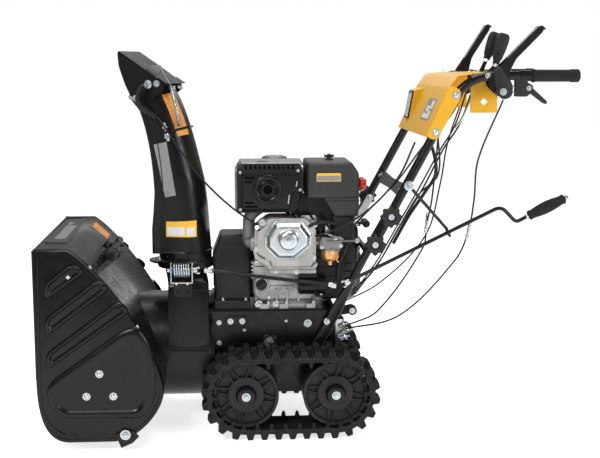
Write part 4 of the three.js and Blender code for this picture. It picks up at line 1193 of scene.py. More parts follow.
# ------------------------------------------------------------------ chute worm and crank
def worm_bracket():
    bracket = Span("worm_bracket")
    axis = PIVOT["worm_spin"]
    mesh = bmesh.new()
    block(mesh, bracket.x0, bracket.x1, bracket.y0, bracket.y1, bracket.z0, bracket.z0 + 3)
    ear = rounded([(bracket.y0 + 1, bracket.z0), (axis.y + 21, bracket.z0), (axis.y + 21, axis.z + 12),
                   (axis.y + 9, axis.z + 25), (axis.y - 9, axis.z + 25), (axis.y - 21, axis.z + 12)], 7)
    for x0 in (bracket.x0, bracket.x1 - 3):
        prism(mesh, "x", ear, x0, x0 + 3)
        centre = (x0 + 1.5, axis.y, axis.z)
        lathe(mesh, centre, (1, 0, 0), [(11, -3), (11, 3)], 24)
    piece("worm_bracket", "chassis", ZINC, mesh, 0.7, replaces=["worm_bracket"])
    mesh = bmesh.new()
    for x in (bracket.x0 + 16, bracket.x1 - 16):
        bolt(mesh, (x, axis.y - 6, bracket.z0), (0, 0, -1), 6, 6)
        bolt(mesh, (x, bracket.y1 - 10, bracket.z0 + 3), (0, 0, 1), 5)
    piece("worm_bracket_bolts", "chassis", ZINC, mesh)
    mesh = bmesh.new()
    saddle = box_outline(bracket.x0 + 8, bracket.x1 - 4, 402, 462, 8)
    prism(mesh, "y", saddle, CHUTE.y - 92, CHUTE.y - 86)
    for x in (bracket.x0 + 20, bracket.x1 - 16):
        bolt(mesh, (x, CHUTE.y - 92, 414), (0, -1, 0), 5)
    piece("worm_bracket_saddle", "chassis", BLACK, mesh)


def chute_worm():
    """Wound wire worm on its spindle, with the yoke of the first universal joint."""
    worm = Span("chute_worm")
    axis = PIVOT["worm_spin"]
    mesh = bmesh.new()
    first = worm.x0 + 18
    last = first + 48
    coil(mesh, (first, axis.y, axis.z), (last, axis.y, axis.z), 20, 2.6, 7, 20, 10)
    lathe(mesh, (worm.x0, axis.y, axis.z), (1, 0, 0), [(6, 0), (6, worm.x1 - worm.x0 - 12)], 20)
    for x in (first - 2, last + 2):
        lathe(mesh, (x, axis.y, axis.z), (1, 0, 0), [(15, -1.5), (17, 0), (15, 1.5)], 24)
    yoke(mesh, Vector((worm.x1, axis.y, axis.z)), Vector((-1, 0, 0)), 0)
    piece("chute_worm", "worm", ZINC, mesh, replaces=["chute_worm"])


def yoke(mesh, point, outward, turn):
    """Forked end of a rod. It stops short of the joint's centre, and its pin crosses the rod's axis."""
    place = Matrix.Translation(point) @ outward.to_track_quat("Z", "Y").to_matrix().to_4x4()
    place = place @ Matrix.Rotation(math.radians(turn), 4, "Z")
    parts = lathe(mesh, (0, 0, 0), (0, 0, 1), [(7.5, 6), (8.5, 8), (8.5, 18), (7, 20)], 18)
    for side in (-1, 1):
        cheek = box_outline(-6, 6, -3, 10, 3)
        parts += prism(mesh, "y", cheek, side * 6, side * 9)
        parts += lathe(mesh, (0, side * 9, 2), (0, side, 0), [(3.2, 0), (3.2, 1.6), (2, 2.4)], 12)
    moved(parts, place)


def crank_rods():
    crank_axis = AXIS["crank_spin"]
    grip = PIVOT["crank_grip_spin"]
    grip_axis = AXIS["crank_grip_spin"]
    rod = Span("front_crank_rod")
    start = Vector((rod.x0 + 9, rod.y1 - 9, rod.z1 - 9))
    end = Vector((rod.x1 - 9, rod.y0 + 9, rod.z0 + 9))
    heading = (end - start).normalized()
    mesh = bmesh.new()
    tube(mesh, [start + heading * 12, start + heading * 40, end - heading * 40, end - heading * 12], 5.5,
         14)
    piece("front_crank_rod", "front_rod", TUBE_BLACK, mesh, replaces=["front_crank_rod"])
    mesh = bmesh.new()
    yoke(mesh, start, heading, 90)
    yoke(mesh, end, -heading, 90)
    piece("front_rod_yokes", "front_rod", ZINC, mesh)
    bar = Span("crank_rod")
    low = Vector((bar.x0 + 9, bar.y1 - 9, bar.z0 + 9))
    elbow = Vector((grip.x - 70, grip.y + 2, grip.z + 33))
    foot = Vector((grip.x - 26, grip.y, grip.z - 14))
    path = rounded([low + crank_axis * 12, elbow, foot, grip, grip + grip_axis * 136], 22, 6, closed=False)
    mesh = bmesh.new()
    tube(mesh, path, 5.5, 14)
    piece("crank_rod", "crank", TUBE_BLACK, mesh, replaces=["crank_rod"])
    mesh = bmesh.new()
    yoke(mesh, low, crank_axis, 0)
    lathe(mesh, grip + grip_axis * 128, grip_axis, [(8, 0), (8, 5), (6.5, 6)], 6)
    lathe(mesh, grip + grip_axis * 3, grip_axis, [(8, 0), (9, 1), (9, 5), (8, 6.4)], 18)
    piece("crank_yoke_and_nut", "crank", ZINC, mesh)


def crank_grip():
    """Spindle-shaped handle with lengthwise grooves and a flared collar at each end."""
    start = PIVOT["crank_grip_spin"]
    axis = AXIS["crank_grip_spin"]
    mesh = bmesh.new()
    swing = axis.to_track_quat("Z", "Y")
    first, last = 10, 127
    ends = ((first, 8), (first + 2, 12.5), (first + 5, 14.5), (first + 9, 14), (first + 12, 12.8))
    shape = list(ends)
    for i in range(1, 14):
        share = i / 14
        shape.append((first + 12 + (last - first - 24) * share, 12.8 + 4.6 * math.sin(math.pi * share)))
    shape += [(last + first - height, radius) for height, radius in ends[::-1]]
    rings = []
    for i, (height, radius) in enumerate(shape):
        groove = 0.9 if 5 <= i <= len(shape) - 6 else 0
        ring = []
        for k in range(96):
            turn = 2 * math.pi * k / 96
            size = radius - groove * max(0.0, math.cos(12 * turn)) ** 3
            ring.append(start + swing @ Vector((size * math.cos(turn), size * math.sin(turn), height)))
        rings.append(ring)
    circle = disc((0, 0), 1, 96)
    for height in (last, first):
        rings.append([start + swing @ Vector((6.2 * a, 6.2 * b, height)) for a, b in circle])
    skin(mesh, rings, "join")
    piece("crank_grip", "grip", GRIP, mesh, smooth=45, replaces=["crank_grip"])


def support_arm():
    """Bent rod from the handle down to the eye that guides the crank."""
    arm = Span("rod_support_arm")
    crank = PIVOT["crank_spin"]
    heading = AXIS["crank_spin"]
    eye = crank + heading * ((arm.x1 - 17 - crank.x) / heading.x)
    top = Vector((arm.x0 + 9, arm.y0 + 7, arm.z1 - 9))
    mesh = bmesh.new()
    path = rounded([top, top.lerp(eye, 0.97) + Vector((0, 0, 6)), eye + Vector((-4, 0, 13))], 10, 5,
                   closed=False)
    tube(mesh, path, 4.6, 12)
    swing = heading.to_track_quat("Z", "Y")
    ring = []
    for i in range(25):
        angle = 2 * math.pi * i / 25
        section = []
        for k in range(10):
            t = 2 * math.pi * k / 10
            reach = 12.5 + 3.6 * math.cos(t)
            spot = Vector((reach * math.cos(angle), reach * math.sin(angle), 3.6 * math.sin(t)))
            section.append(eye + swing @ spot)
        ring.append(section)
    skin(mesh, ring, "join")
    piece("rod_support_arm", "chassis", TUBE_BLACK, mesh, replaces=["rod_support_arm"])
    mesh = bmesh.new()
    bolt(mesh, (top.x, arm.y0 - 0.5, top.z), (0, -1, 0), 7)
    lathe(mesh, (top.x, arm.y0 + 2, top.z), (0, -1, 0), [(13, -4), (14, -2), (14, 2), (11, 3)], 24)
    lathe(mesh, (top.x, arm.y0 + 4, top.z), (0, 1, 0), [(8, 0), (8, arm.y1 - arm.y0 - 4)], 20)
    piece("support_arm_bolt", "chassis", ZINC, mesh)


worm_bracket()
chute_worm()
crank_rods()
crank_grip()
support_arm()


# ------------------------------------------------------------------ tractor frame and belt cover
FRAME = Span("tractor_frame")
HALF = 130
DECK = FRAME.z1


def frame_details():
    """Plates, pressed bead, bearing ring and edge fold on the frame's side panels."""
    shaft = PIVOT["hex_shaft_spin"]
    for side, name in ((LEFT, "left"), (RIGHT, "right")):
        face = side * HALF
        mesh = bmesh.new()
        lathe(mesh, (shaft.x, face - side, shaft.z), (0, side, 0),
              [(10, 0), (22, 0), (24, 1), (24, 4.5), (22, 6), (19, 6), (18, 4), (10, 4)], 40, "join")
        tag = box_outline(-187, -122, 302, 334, 7)
        pillow(mesh, "y", tag, [(0, face), (0, face + side * 3), (1.2, face + side * 4)])
        bead = [(0, face + side, 281), (6, face + side, 271), (55, face + side, 271)]
        tube(mesh, rounded(bead, 8, 5, closed=False), 2.6, 8)
        seam = [(-6, face + side * 0.4, DECK - 3), (-6, face + side * 0.4, 262)]
        tube(mesh, seam, 1.6, 8)
        seam = [(-131, face + side * 0.4, 306), (-131, face + side * 0.4, FRAME.z0 + 8)]
        tube(mesh, seam, 1.3, 8)
        edge = [(FRAME_X0 + 2, face, DECK - 1.5), (FRAME_X1 - 2, face, DECK - 1.5)]
        tube(mesh, edge, 2.2, 8)
        piece(name + "_frame_details", "chassis", BLACK, mesh)
        mesh = bmesh.new()
        for x, z, size in ((-172, 318, 6), (-137, 318, 6), (59, 308, 8), (-206, 314, 5), (-206, 252, 5),
                           (-131, 290, 3.5), (-6, 316, 3)):
            bolt(mesh, (x, face + side * (3.6 if size == 6 else 0.2), z), (0, side, 0), size, size * 0.7)
        piece(name + "_frame_bolts", "chassis", ZINC, mesh)
        mesh = bmesh.new()
        bolt(mesh, (shaft.x, side * (HALF + 8), shaft.z), (0, side, 0), 12, 8)
        piece(name + "_hex_shaft_bolt", "hex_shaft", ZINC, mesh)
    mesh = bmesh.new()
    rear = FRAME_X1
    outline = box_outline(-92, 92, 196, 318, 10)
    pillow(mesh, "x", outline, [(0, rear - 0.5), (0, rear + 1.5), (2, rear + 3)])
    for z in (216, 238, 260, 282):
        tube(mesh, [(rear + 2.5, -74, z), (rear + 2.5, 74, z)], 2.2, 8)
    piece("frame_rear_panel", "chassis", BLACK, mesh)
    mesh = bmesh.new()
    for y in (-82, 82):
        for z in (206, 308):
            bolt(mesh, (rear + 2.6, y, z), (1, 0, 0), 5)
    piece("frame_rear_bolts", "chassis", ZINC, mesh)


upper_frame = [(vertex.co.x - ORIGIN.x) / MM for vertex in frame["nodes"]["tractor_frame"].data.vertices
               if vertex.co.z > 0.3]
FRAME_X0, FRAME_X1 = min(upper_frame), max(upper_frame)
frame_details()
carried("tractor_frame", BLACK, 1.5)


def belt_cover():
    """Moulded cover over the belts: sloped shoulders, side panels and a stepped skirt."""
    cover = Span("belt_cover")
    front, rear, foot, top = cover.x0 - 8, cover.x1, cover.z0, cover.z1 - 12
    half = cover.y1
    mesh = bmesh.new()
    outline = rounded([(front + 6, foot + 26), (front, top - 62), (front + 24, top), (rear - 2, top),
                       (rear, foot + 26)], 9)
    pillow(mesh, "y", outline, [(14, -half), (5, -half + 2), (1, -half + 7), (0, -half + 14), (0, 0),
                                (0, half - 14), (1, half - 7), (5, half - 2), (14, half)])
    for y in (-60, 0, 60):
        rib = box_outline(y - 16, y + 16, top - 100, foot + 60, 8)
        pillow(mesh, "x", rib, [(0, front + 8), (2, front + 3), (4, front + 2)])
    for side in (LEFT, RIGHT):
        panel = rounded([(front + 20, foot + 44), (front + 18, top - 72), (front + 36, top - 26),
                         (rear - 14, top - 26), (rear - 14, foot + 44)], 10)
        pillow(mesh, "y", panel, [(0, side * (half - 2)), (2, side * (half + 1.6)),
                                  (5, side * (half + 2.2))])
    for vertex in mesh.verts:
        if vertex.co.y > 0 and vertex.co.z > top - 90:
            vertex.co.z -= 40 * vertex.co.y / half * (vertex.co.z - top + 90) / 90
    skirt = box_outline(front + 2, rear, -half - 2, half, 8)
    pillow(mesh, "z", skirt, [(0, foot), (0, foot + 22), (2, foot + 26), (6, foot + 28)])
    piece("belt_cover", "chassis", COVER_PLASTIC, mesh, smooth=40, replaces=["belt_cover"])
    mesh = bmesh.new()
    for side in (LEFT, RIGHT):
        bolt(mesh, (front + 30, side * (half - 4), foot + 28), (0, 0, 1), 5, 8)
        bolt(mesh, (rear - 14, side * (half - 4), foot + 28), (0, 0, 1), 5, 8)
    piece("belt_cover_bolts", "chassis", ZINC, mesh)


belt_cover()
for drive_node, drive_finish in (
    ("drive_disc", ALLOY), ("hex_shaft", STEEL), ("friction_wheel", GRIP), ("drive_chain", STEEL),
    ("traction_belt", GRIP), ("auger_belt", GRIP), ("crankshaft", STEEL),
):
    carried(drive_node, drive_finish, 0.5)


# ------------------------------------------------------------------ tracks and wheels
FRONT_HUB = PIVOT["left_front_wheel_spin"]
REAR_HUB = PIVOT["left_rear_wheel_spin"]
BELT_RADIUS = 112
LUG_RADIUS = 129
LUGS = 30
RUN = REAR_HUB.x - FRONT_HUB.x
LAP = 2 * RUN + 2 * math.pi * BELT_RADIUS


def on_track(distance, radius):
    """Point and outward direction at a distance along the belt, in x and z."""
    turn = math.pi * BELT_RADIUS
    distance %= LAP
    if distance < RUN:
        return Vector((REAR_HUB.x - distance, REAR_HUB.z + radius)), Vector((0, 1))
    if distance < RUN + turn:
        angle = math.pi / 2 + (distance - RUN) / BELT_RADIUS
        out = Vector((math.cos(angle), math.sin(angle)))
        return Vector((FRONT_HUB.x, FRONT_HUB.z)) + out * radius, out
    if distance < 2 * RUN + turn:
        return Vector((FRONT_HUB.x + distance - RUN - turn, REAR_HUB.z - radius)), Vector((0, -1))
    angle = -math.pi / 2 + (distance - 2 * RUN - turn) / BELT_RADIUS
    out = Vector((math.cos(angle), math.sin(angle)))
    return Vector((REAR_HUB.x, REAR_HUB.z)) + out * radius, out


def track_belt(name, node, side):
    """Endless rubber belt: rounded edges, staggered two-row studs outside and drive teeth inside."""
    mesh = bmesh.new()
    middle = side * Span("right_track").y
    half = Span("right_track").y1 - Span("right_track").y
    section = [(-half, 101), (-half + 3, 98), (half - 3, 98), (half, 101), (half, 109), (half - 3, 112),
               (-half + 3, 112), (-half, 109)]
    rings = []
    steps = 150
    for i in range(steps):
        ring = []
        for across, radius in section:
            point, _ = on_track(LAP * i / steps, radius)
            ring.append((point.x, middle + across, point.y))
        rings.append(ring)
    skin(mesh, rings, "join")
    pitch = LAP / LUGS
    for i in range(LUGS):
        centre = i * pitch + pitch * 0.285
        for row, (near, far, shift) in enumerate(((-half, -12, 0.0), (-6, 22, 0.5), (24, half, 0.0))):
            stud(mesh, centre + shift * pitch, middle + near, middle + far, row == 1)
        for across in (-half + 7, half - 7):
            tooth(mesh, centre + pitch * 0.5, middle + across)
    piece(name, "chassis", RUBBER, mesh, smooth=35, replaces=[node])


def stud(mesh, distance, y0, y1, short):
    """Tread block with sloped flanks."""
    long = 11 if short else 13
    rings = []
    for height, reach, draw in ((110, long, 0), (118, long * 0.8, 1.5), (LUG_RADIUS - 3, long * 0.62, 2.5),
                                (LUG_RADIUS, long * 0.48, 4)):
        low_edge, _ = on_track(distance - reach, height)
        high_edge, _ = on_track(distance + reach, height)
        rings.append([(low_edge.x, y0 + draw, low_edge.y), (high_edge.x, y0 + draw, high_edge.y),
                      (high_edge.x, y1 - draw, high_edge.y), (low_edge.x, y1 - draw, low_edge.y)])
    skin(mesh, rings)


def tooth(mesh, distance, y):
    """Conical drive tooth on the inside of the belt's edge."""
    point, out = on_track(distance, 99)
    lathe(mesh, (point.x, y, point.y), (-out.x, 0, -out.y), [(8, -1), (7, 4), (4.6, 14), (3, 17)], 12)


def track_wheel(name, node, body, hub, side):
    """Moulded wheel with a web of ribs between the rim and a raised hub disc."""
    middle = side * Span("right_track").y
    outward = Vector((0, side, 0))
    origin = Vector((hub.x, middle, hub.z))
    mesh = bmesh.new()
    profile = [(13, -42), (34, -42), (34, -30), (80, -30), (84, -48), (94, -48), (95, -45), (95, 45),
               (94, 48), (86, 48), (83, 40), (82, 34), (54, 30), (52, 42), (49, 44), (30, 44), (28, 40),
               (13, 40)]
    lathe(mesh, origin, outward, profile, 72, "join")
    for i in range(16):
        spread = 7 if i % 2 else -7
        angle = math.radians(360 / 16 * i)
        tip = math.radians(360 / 16 * i + spread)
        start = Vector((math.cos(angle) * 52, 0, math.sin(angle) * 52))
        end = Vector((math.cos(tip) * 84, 0, math.sin(tip) * 84))
        across = Vector((-math.sin(angle), 0, math.cos(angle)))
        rings = []
        for width, height in ((3.4, 28), (2.6, 39), (1.8, 41)):
            corners = ((start, width), (start, -width), (end, -width), (end, width))
            rings.append([origin + outward * height + spot + across * offset for spot, offset in corners])
        skin(mesh, rings)
    for i in range(8):
        angle = math.radians(45 * i + 11)
        spot = origin + outward * 42 + Vector((math.cos(angle) * 90, 0, math.sin(angle) * 90))
        lathe(mesh, spot, outward, [(4, 0), (4, 7), (3, 8)], 10)
    piece(name, body, PLASTIC, mesh, smooth=34, replaces=[node])


def wheel_caps():
    """Round cap and bolt on each axle end, which turn with the wheels."""
    for side, label in ((LEFT, "left"), (RIGHT, "right")):
        for hub, body, where in ((FRONT_HUB, label + "_front_wheel", "front"),
                                 (REAR_HUB, label + "_rear_wheel", "rear")):
            mesh = bmesh.new()
            face = side * (Span("right_track").y + 44)
            lathe(mesh, (hub.x, face, hub.z), (0, side, 0),
                  [(27, -1), (27, 13), (25, 17), (21, 18), (19, 18.3), (13, 18.3)], 40)
            piece(f"{label}_{where}_cap", body, BLACK, mesh, smooth=35)
            mesh = bmesh.new()
            bolt(mesh, (hub.x, face + side * 18.6, hub.z), (0, side, 0), 8.5, 7)
            piece(f"{label}_{where}_axle_bolt", body, ZINC, mesh)


for track_side, track_name in ((LEFT, "left"), (RIGHT, "right")):
    track_belt(track_name + "_track", track_name + "_track", track_side)
    for wheel_hub, wheel_place in ((FRONT_HUB, "_front_wheel"), (REAR_HUB, "_rear_wheel")):
        wheel_node = track_name + wheel_place
        track_wheel(wheel_node, wheel_node, wheel_node, wheel_hub, track_side)
wheel_caps()
carried("drive_axle", STEEL)


# ------------------------------------------------------------------ engine
CASE = Span("crankcase")
MUFFLER = Span("muffler")
AIR_BOX = Span("air_box")
COVER = Span("valve_cover")
CARB = Span("carburetor")
FAN = Span("fan_housing")
CRANKSHAFT = PIVOT["crankshaft_spin"]


def crankcase():
    """Cast block on a flanged sump, with a boss for the oil filler and stiffening ribs."""
    mesh = bmesh.new()
    x0, x1 = CASE.x0 + 42, CASE.x1 - 15
    foot = CASE.z0
    base = box_outline(x0, x1, -112, 112, 12)
    pillow(mesh, "z", base, [(0, foot), (0, foot + 12), (2, foot + 14), (5, foot + 19), (9, foot + 22)])
    for x in (x0 - 6, x0 + 52, x1 - 18):
        for side in (LEFT, RIGHT):
            pad = box_outline(x - 14, x + 18, side * 100, side * 122, 7)
            prism(mesh, "z", pad, foot, foot + 15)
    block(mesh, CASE.x0 + 10, CASE.x1 - 4, -92, 118, foot + 18, foot + 178)
    face = rounded([(CASE.x0 + 6, foot + 36), (CASE.x0 + 30, foot + 22), (x1 - 12, foot + 22),
                    (x1 + 6, foot + 60), (x1 + 6, foot + 128), (CASE.x0 + 20, foot + 150),
                    (CASE.x0 + 2, foot + 138)], 12)
    pillow(mesh, "y", face, [(0, -88), (0, -100), (2, -103), (7, -106)])
    for i in range(5):
        z = foot + 92 + 11 * i
        block(mesh, CASE.x0 - 1, CASE.x0 + 38, -112 + i * 2, 20, z, z + 4)
    for x in (x0 + 30, x0 + 62, x0 + 96):
        block(mesh, x, x + 6, -111, -96, foot + 20, foot + 58)
    block(mesh, x0 + 14, x1 - 6, -110, -96, foot + 62, foot + 68)
    filler = (CASE.x0 + 29, -100, CRANKSHAFT.z - 30)
    lathe(mesh, filler, (0, -1, 0), [(24, 0), (22, 12), (21, 26), (17, 28), (17, 24)], 32)
    drain = (CASE.x0 + 22, -98, foot + 12)
    lathe(mesh, drain, (0, -1, 0), [(13, 0), (12, 12), (11, 14)], 24)
    side_cover = disc((CRANKSHAFT.x + 20, CRANKSHAFT.z), 66, 40)
    pillow(mesh, "y", side_cover, [(0, 110), (0, 122), (3, 125), (9, 127)])
    piece("crankcase", "chassis", ALLOY, mesh, 1.2, replaces=["crankcase"])
    mesh = bmesh.new()
    bolt(mesh, (x0 + 32, -112, foot + 11), (0, -1, 0), 7, 6)
    for x in (x0 + 8, x0 + 62, x1 - 8):
        bolt(mesh, (x, -111, foot + 15), (0, 0, 1), 7, 6)
        bolt(mesh, (x, 111, foot + 15), (0, 0, 1), 7, 6)
    bolt(mesh, (drain[0], drain[1] - 14, drain[2]), (0, -1, 0), 8, 7)
    for x, z in ((x0 + 10, foot + 34), (x1 - 2, foot + 74), (x1 - 2, foot + 112), (x0 + 60, foot + 126)):
        bolt(mesh, (x, -105, z), (0, -1, 0), 5)
    piece("crankcase_bolts", "chassis", ZINC, mesh)
    mesh = bmesh.new()
    cap = Vector(filler) + Vector((0, -26, 0))
    lathe(mesh, cap, (0, -1, 0), [(15, 0), (16, 2), (16, 7), (13, 9)], 28)
    handle = box_outline(-15, 15, -5, 5, 4)
    turn = Matrix.Translation(cap) @ Matrix.Rotation(math.radians(-38), 4, "Y")
    moved(prism(mesh, "y", handle, -22, -8), turn)
    piece("oil_filler_cap", "chassis", PLASTIC, mesh, 1.0)


def cylinder_head():
    """Finned head under the valve cover, with the pressed cowl below it."""
    mesh = bmesh.new()
    face = COVER.y1 + 1
    head = rounded([(CASE.x0 + 6, 560), (CASE.x0 + 6, 530), (-62, 508), (-56, 486), (66, 486), (78, 506),
                    (78, 604), (40, 634), (-58, 634), (-100, 602)], 10)
    fins = 11
    for i in range(fins):
        y = face + 10 + i * 12
        pillow(mesh, "y", head, [(2, y), (0, y + 0.8), (0, y + 4.2), (2, y + 5)])
    core = inset(head, 9)
    prism(mesh, "y", core, face - 2, -62)
    gasket = rounded([(-62, 636), (48, 636), (70, 612), (76, 568), (60, 530), (24, 508), (-30, 508),
                      (-70, 532), (-82, 572), (-74, 612)], 12)
    pillow(mesh, "y", gasket, [(1, face + 9), (0, face + 7), (0, face + 1.5), (1.5, face)])
    for x, z in ((-78, 624), (-92, 548), (-62, 516), (68, 520), (72, 618)):
        lathe(mesh, (x, face + 34, z), (0, -1, 0), [(11, 0), (11, 28), (9, 31)], 20)
    port = (MUFFLER.x0 + 44, -140, 556)
    lathe(mesh, port, (-1, 0, 0), [(24, -22), (24, 4), (21, 6)], 28)
    piece("cylinder_head", "chassis", ALLOY, mesh, 0.8)
    mesh = bmesh.new()
    cowl = [(-106, 545), (-100, 520), (-64, 496), (-58, 482), (74, 482), (82, 500), (80, 506), (66, 494),
            (-50, 494), (-56, 506), (-92, 528), (-98, 547)]
    prism(mesh, "y", rounded(cowl, 4), face + 2, -70)
    lip = box_outline(-60, 78, 474, 486, 4)
    pillow(mesh, "y", lip, [(1.5, face - 5), (0, face - 3), (0, face + 26)])
    piece("head_cowl", "chassis", ALLOY, mesh, 0.8)
    mesh = bmesh.new()
    for x, z in ((-78, 624), (-92, 548), (68, 520), (72, 618)):
        bolt(mesh, (x, face + 3, z), (0, -1, 0), 6.5)
    bolt(mesh, (20, face - 5, 480), (0, -1, 0), 5)
    bolt(mesh, (-40, face - 5, 480), (0, -1, 0), 4)
    spark = Vector((-86, face + 22, 600))
    tube(mesh, [spark, spark + Vector((-6, -16, 8)), spark + Vector((-8, -26, 12))], 6, 12)
    piece("head_bolts", "chassis", ZINC, mesh)


def valve_cover():
    """Pressed hexagonal cover: flanged edge, stepped pan and a round dome in the middle."""
    mesh = bmesh.new()
    corners = ((28, 114), (108, 114), (138, 72), (134, 38), (87, 0), (36, 0), (0, 36), (0, 72))
    pan = rounded([(COVER.x0 + a, COVER.z0 + b) for a, b in corners], 9, 5)
    back = COVER.y1
    pillow(mesh, "y", pan, [(0, back), (0, back - 3), (1.5, back - 4.5), (5, back - 5), (7, back - 7),
                            (13, back - 20), (16, back - 23), (20, back - 24), (21, back - 24)])
    dome = (COVER.x0 + 68, COVER.z0 + 60)
    lathe(mesh, (dome[0], back - 23, dome[1]), (0, -1, 0),
          [(35, -1), (34, 1.5), (32, 3), (30, 3.5), (27.5, 9), (25, 13), (20, 15.5), (14, 16.5), (10, 16),
           (8, 17), (2, 17.4)], 48)
    piece("valve_cover", "chassis", ZINC, mesh, smooth=50, replaces=["valve_cover"])
    mesh = bmesh.new()
    for x, z in ((32, 109), (104, 109), (6, 40), (40, 5), (129, 42)):
        bolt(mesh, (COVER.x0 + x, back - 4.5, COVER.z0 + z), (0, -1, 0), 3.4)
    piece("valve_cover_bolts", "chassis", ZINC, mesh)


def muffler():
    """Heat guard: a chamfered box with the outlet's ring, and a row of vents, slots and openings drawn as
    dark painted shadow.
    """
    low = MUFFLER_LOW
    front, back = MUFFLER_FACE, MUFFLER.y1
    x0, x1, top = MUFFLER.x0, MUFFLER.x1, MUFFLER.z1
    mesh = bmesh.new()
    face = [(x0, low), (x1, low), (x1, top - 16), (x1 - 12, top - 3), (x0 + 12, top - 3), (x0, top - 16)]
    pillow(mesh, "y", rounded(face, 4), [(10, front + 3), (7, front + 2.5), (4, front), (1, front + 1.5),
                                         (0, front + 5), (0, back - 3), (3, back)])
    panel = [(x0 + 14, low + 10), (x1 - 12, low + 10), (x1 - 12, top - 32), (x0 + 14, top - 32)]
    pillow(mesh, "y", rounded(panel, 10), [(0, front + 4), (0.5, front + 0.2), (2, front - 1.6),
                                           (5, front - 2)])
    centre = OUTLET
    rings = [(44, 0), (42, 3), (38, 5.6), (34, 6), (30, 4.6), (26, 2), (24, 3), (22, 9), (19, 10), (19, 2)]
    lathe(mesh, (centre[0], front, centre[1]), (0, -1, 0), rings, 48)
    tab = [(-22, 8), (-3, 4), (6, 62), (-14, 66)]
    place = Matrix.Translation((x1 - 22, front - 2, low - 4)) @ Matrix.Rotation(math.radians(8), 4, "Y")
    moved(prism(mesh, "y", rounded(tab, 5), -5, -1), place)
    piece("muffler_guard", "chassis", BLACK, mesh, 0.6, replaces=["muffler"])
    mesh = bmesh.new()
    lathe(mesh, (centre[0], front - 9, centre[1]), (0, -1, 0), [(18, -6), (18, 3), (13.5, 3), (13.5, -6)],
          40, "join")
    piece("muffler_outlet", "chassis", HOSE, mesh)
    # Painted shadow: dark discs and bars stand for the vents, the slots and the outlet's opening.
    mesh = bmesh.new()
    for i in range(11):
        vent = (x0 + 26 + i * 13.5, front - 0.4, top - 16)
        lathe(mesh, vent, (0, -1, 0.1), [(4.0, -1), (4.0, 0.6)], 16)
    lathe(mesh, (centre[0], front - 9, centre[1]), (0, -1, 0), [(13.4, -2), (13.4, 0.6)], 32)
    for z, width in ((top - 44, 30), (top - 56, 22), (low + 30, 26), (low + 19, 38)):
        slot = box_outline(x0 + 22, x0 + 22 + width, z - 3, z + 3, 3)
        prism(mesh, "y", slot, front - 2.6, front + 3)
    piece("muffler_vent_shadows", "chassis", PAINTED_SHADOW, mesh)
    mesh = bmesh.new()
    lid = box_outline(x0 + 8, x1 + 2, front + 6, back + 4, 8)
    pillow(mesh, "z", lid, [(0, top - 9), (0, top - 3), (3, top - 0.5), (8, top)])
    end = box_outline(front + 8, back, low + 8, top - 22, 6)
    pillow(mesh, "x", end, [(0, x0 + 2), (0, x0 - 4), (2, x0 - 5)])
    piece("muffler_top", "chassis", GREY_STEEL, mesh, smooth=35)
    # Painted shadow: a dark oval stands for the hole in the top.
    mesh = bmesh.new()
    oval = [(x0 + 76 + 16 * math.cos(t),
             front + 40 + 9 * math.sin(t)) for t in (math.pi * k / 12 for k in range(24))]
    prism(mesh, "z", oval, top - 1, top + 0.6)
    piece("muffler_top_hole_shadow", "chassis", PAINTED_SHADOW, mesh)
    mesh = bmesh.new()
    for x, z in ((x0 + 9, top - 28), (x1 - 14, top - 24), (x1 - 8, low + 66), (x0 + 9, low + 10)):
        bolt(mesh, (x, front + 0.5, z), (0, -1, 0), 3)
    for x, z, height in ((x1 - 21, low + 76, 16), (x1 - 44, low + 26, 26)):
        strip = rounded([(x, z), (x + 3, z), (x + 6, z + height), (x + 3, z + height)], 1.5)
        prism(mesh, "y", strip, front - 3, front + 2)
    piece("muffler_brackets", "chassis", ZINC, mesh)


MUFFLER_FACE = MUFFLER.y0 + 10
MUFFLER_LOW = AIR_BOX.z0 + 14
OUTLET = (MUFFLER.x0 + 88, MUFFLER_LOW + 68)


def exhaust_elbow():
    mesh = bmesh.new()
    x = MUFFLER.x0 + 34
    path = rounded([(x + 34, -140, 664), (x, -140, 636), (x, -140, 556), (x + 26, -140, 556)], 26, 8,
                   closed=False)
    tube(mesh, path, lambda share: 19 - 1.5 * math.sin(math.pi * share), 28)
    lathe(mesh, (x + 2, -140, 562), (1, 0, -0.1), [(22, 14), (22, 20)], 28)
    for z, radius in ((574, 19.5), (570, 19.5)):
        lathe(mesh, (x, -140, z), (0, 0, 1), [(17, -2), (radius, 0), (17, 2)], 28)
    piece("exhaust_elbow", "chassis", IRON, mesh, smooth=50)


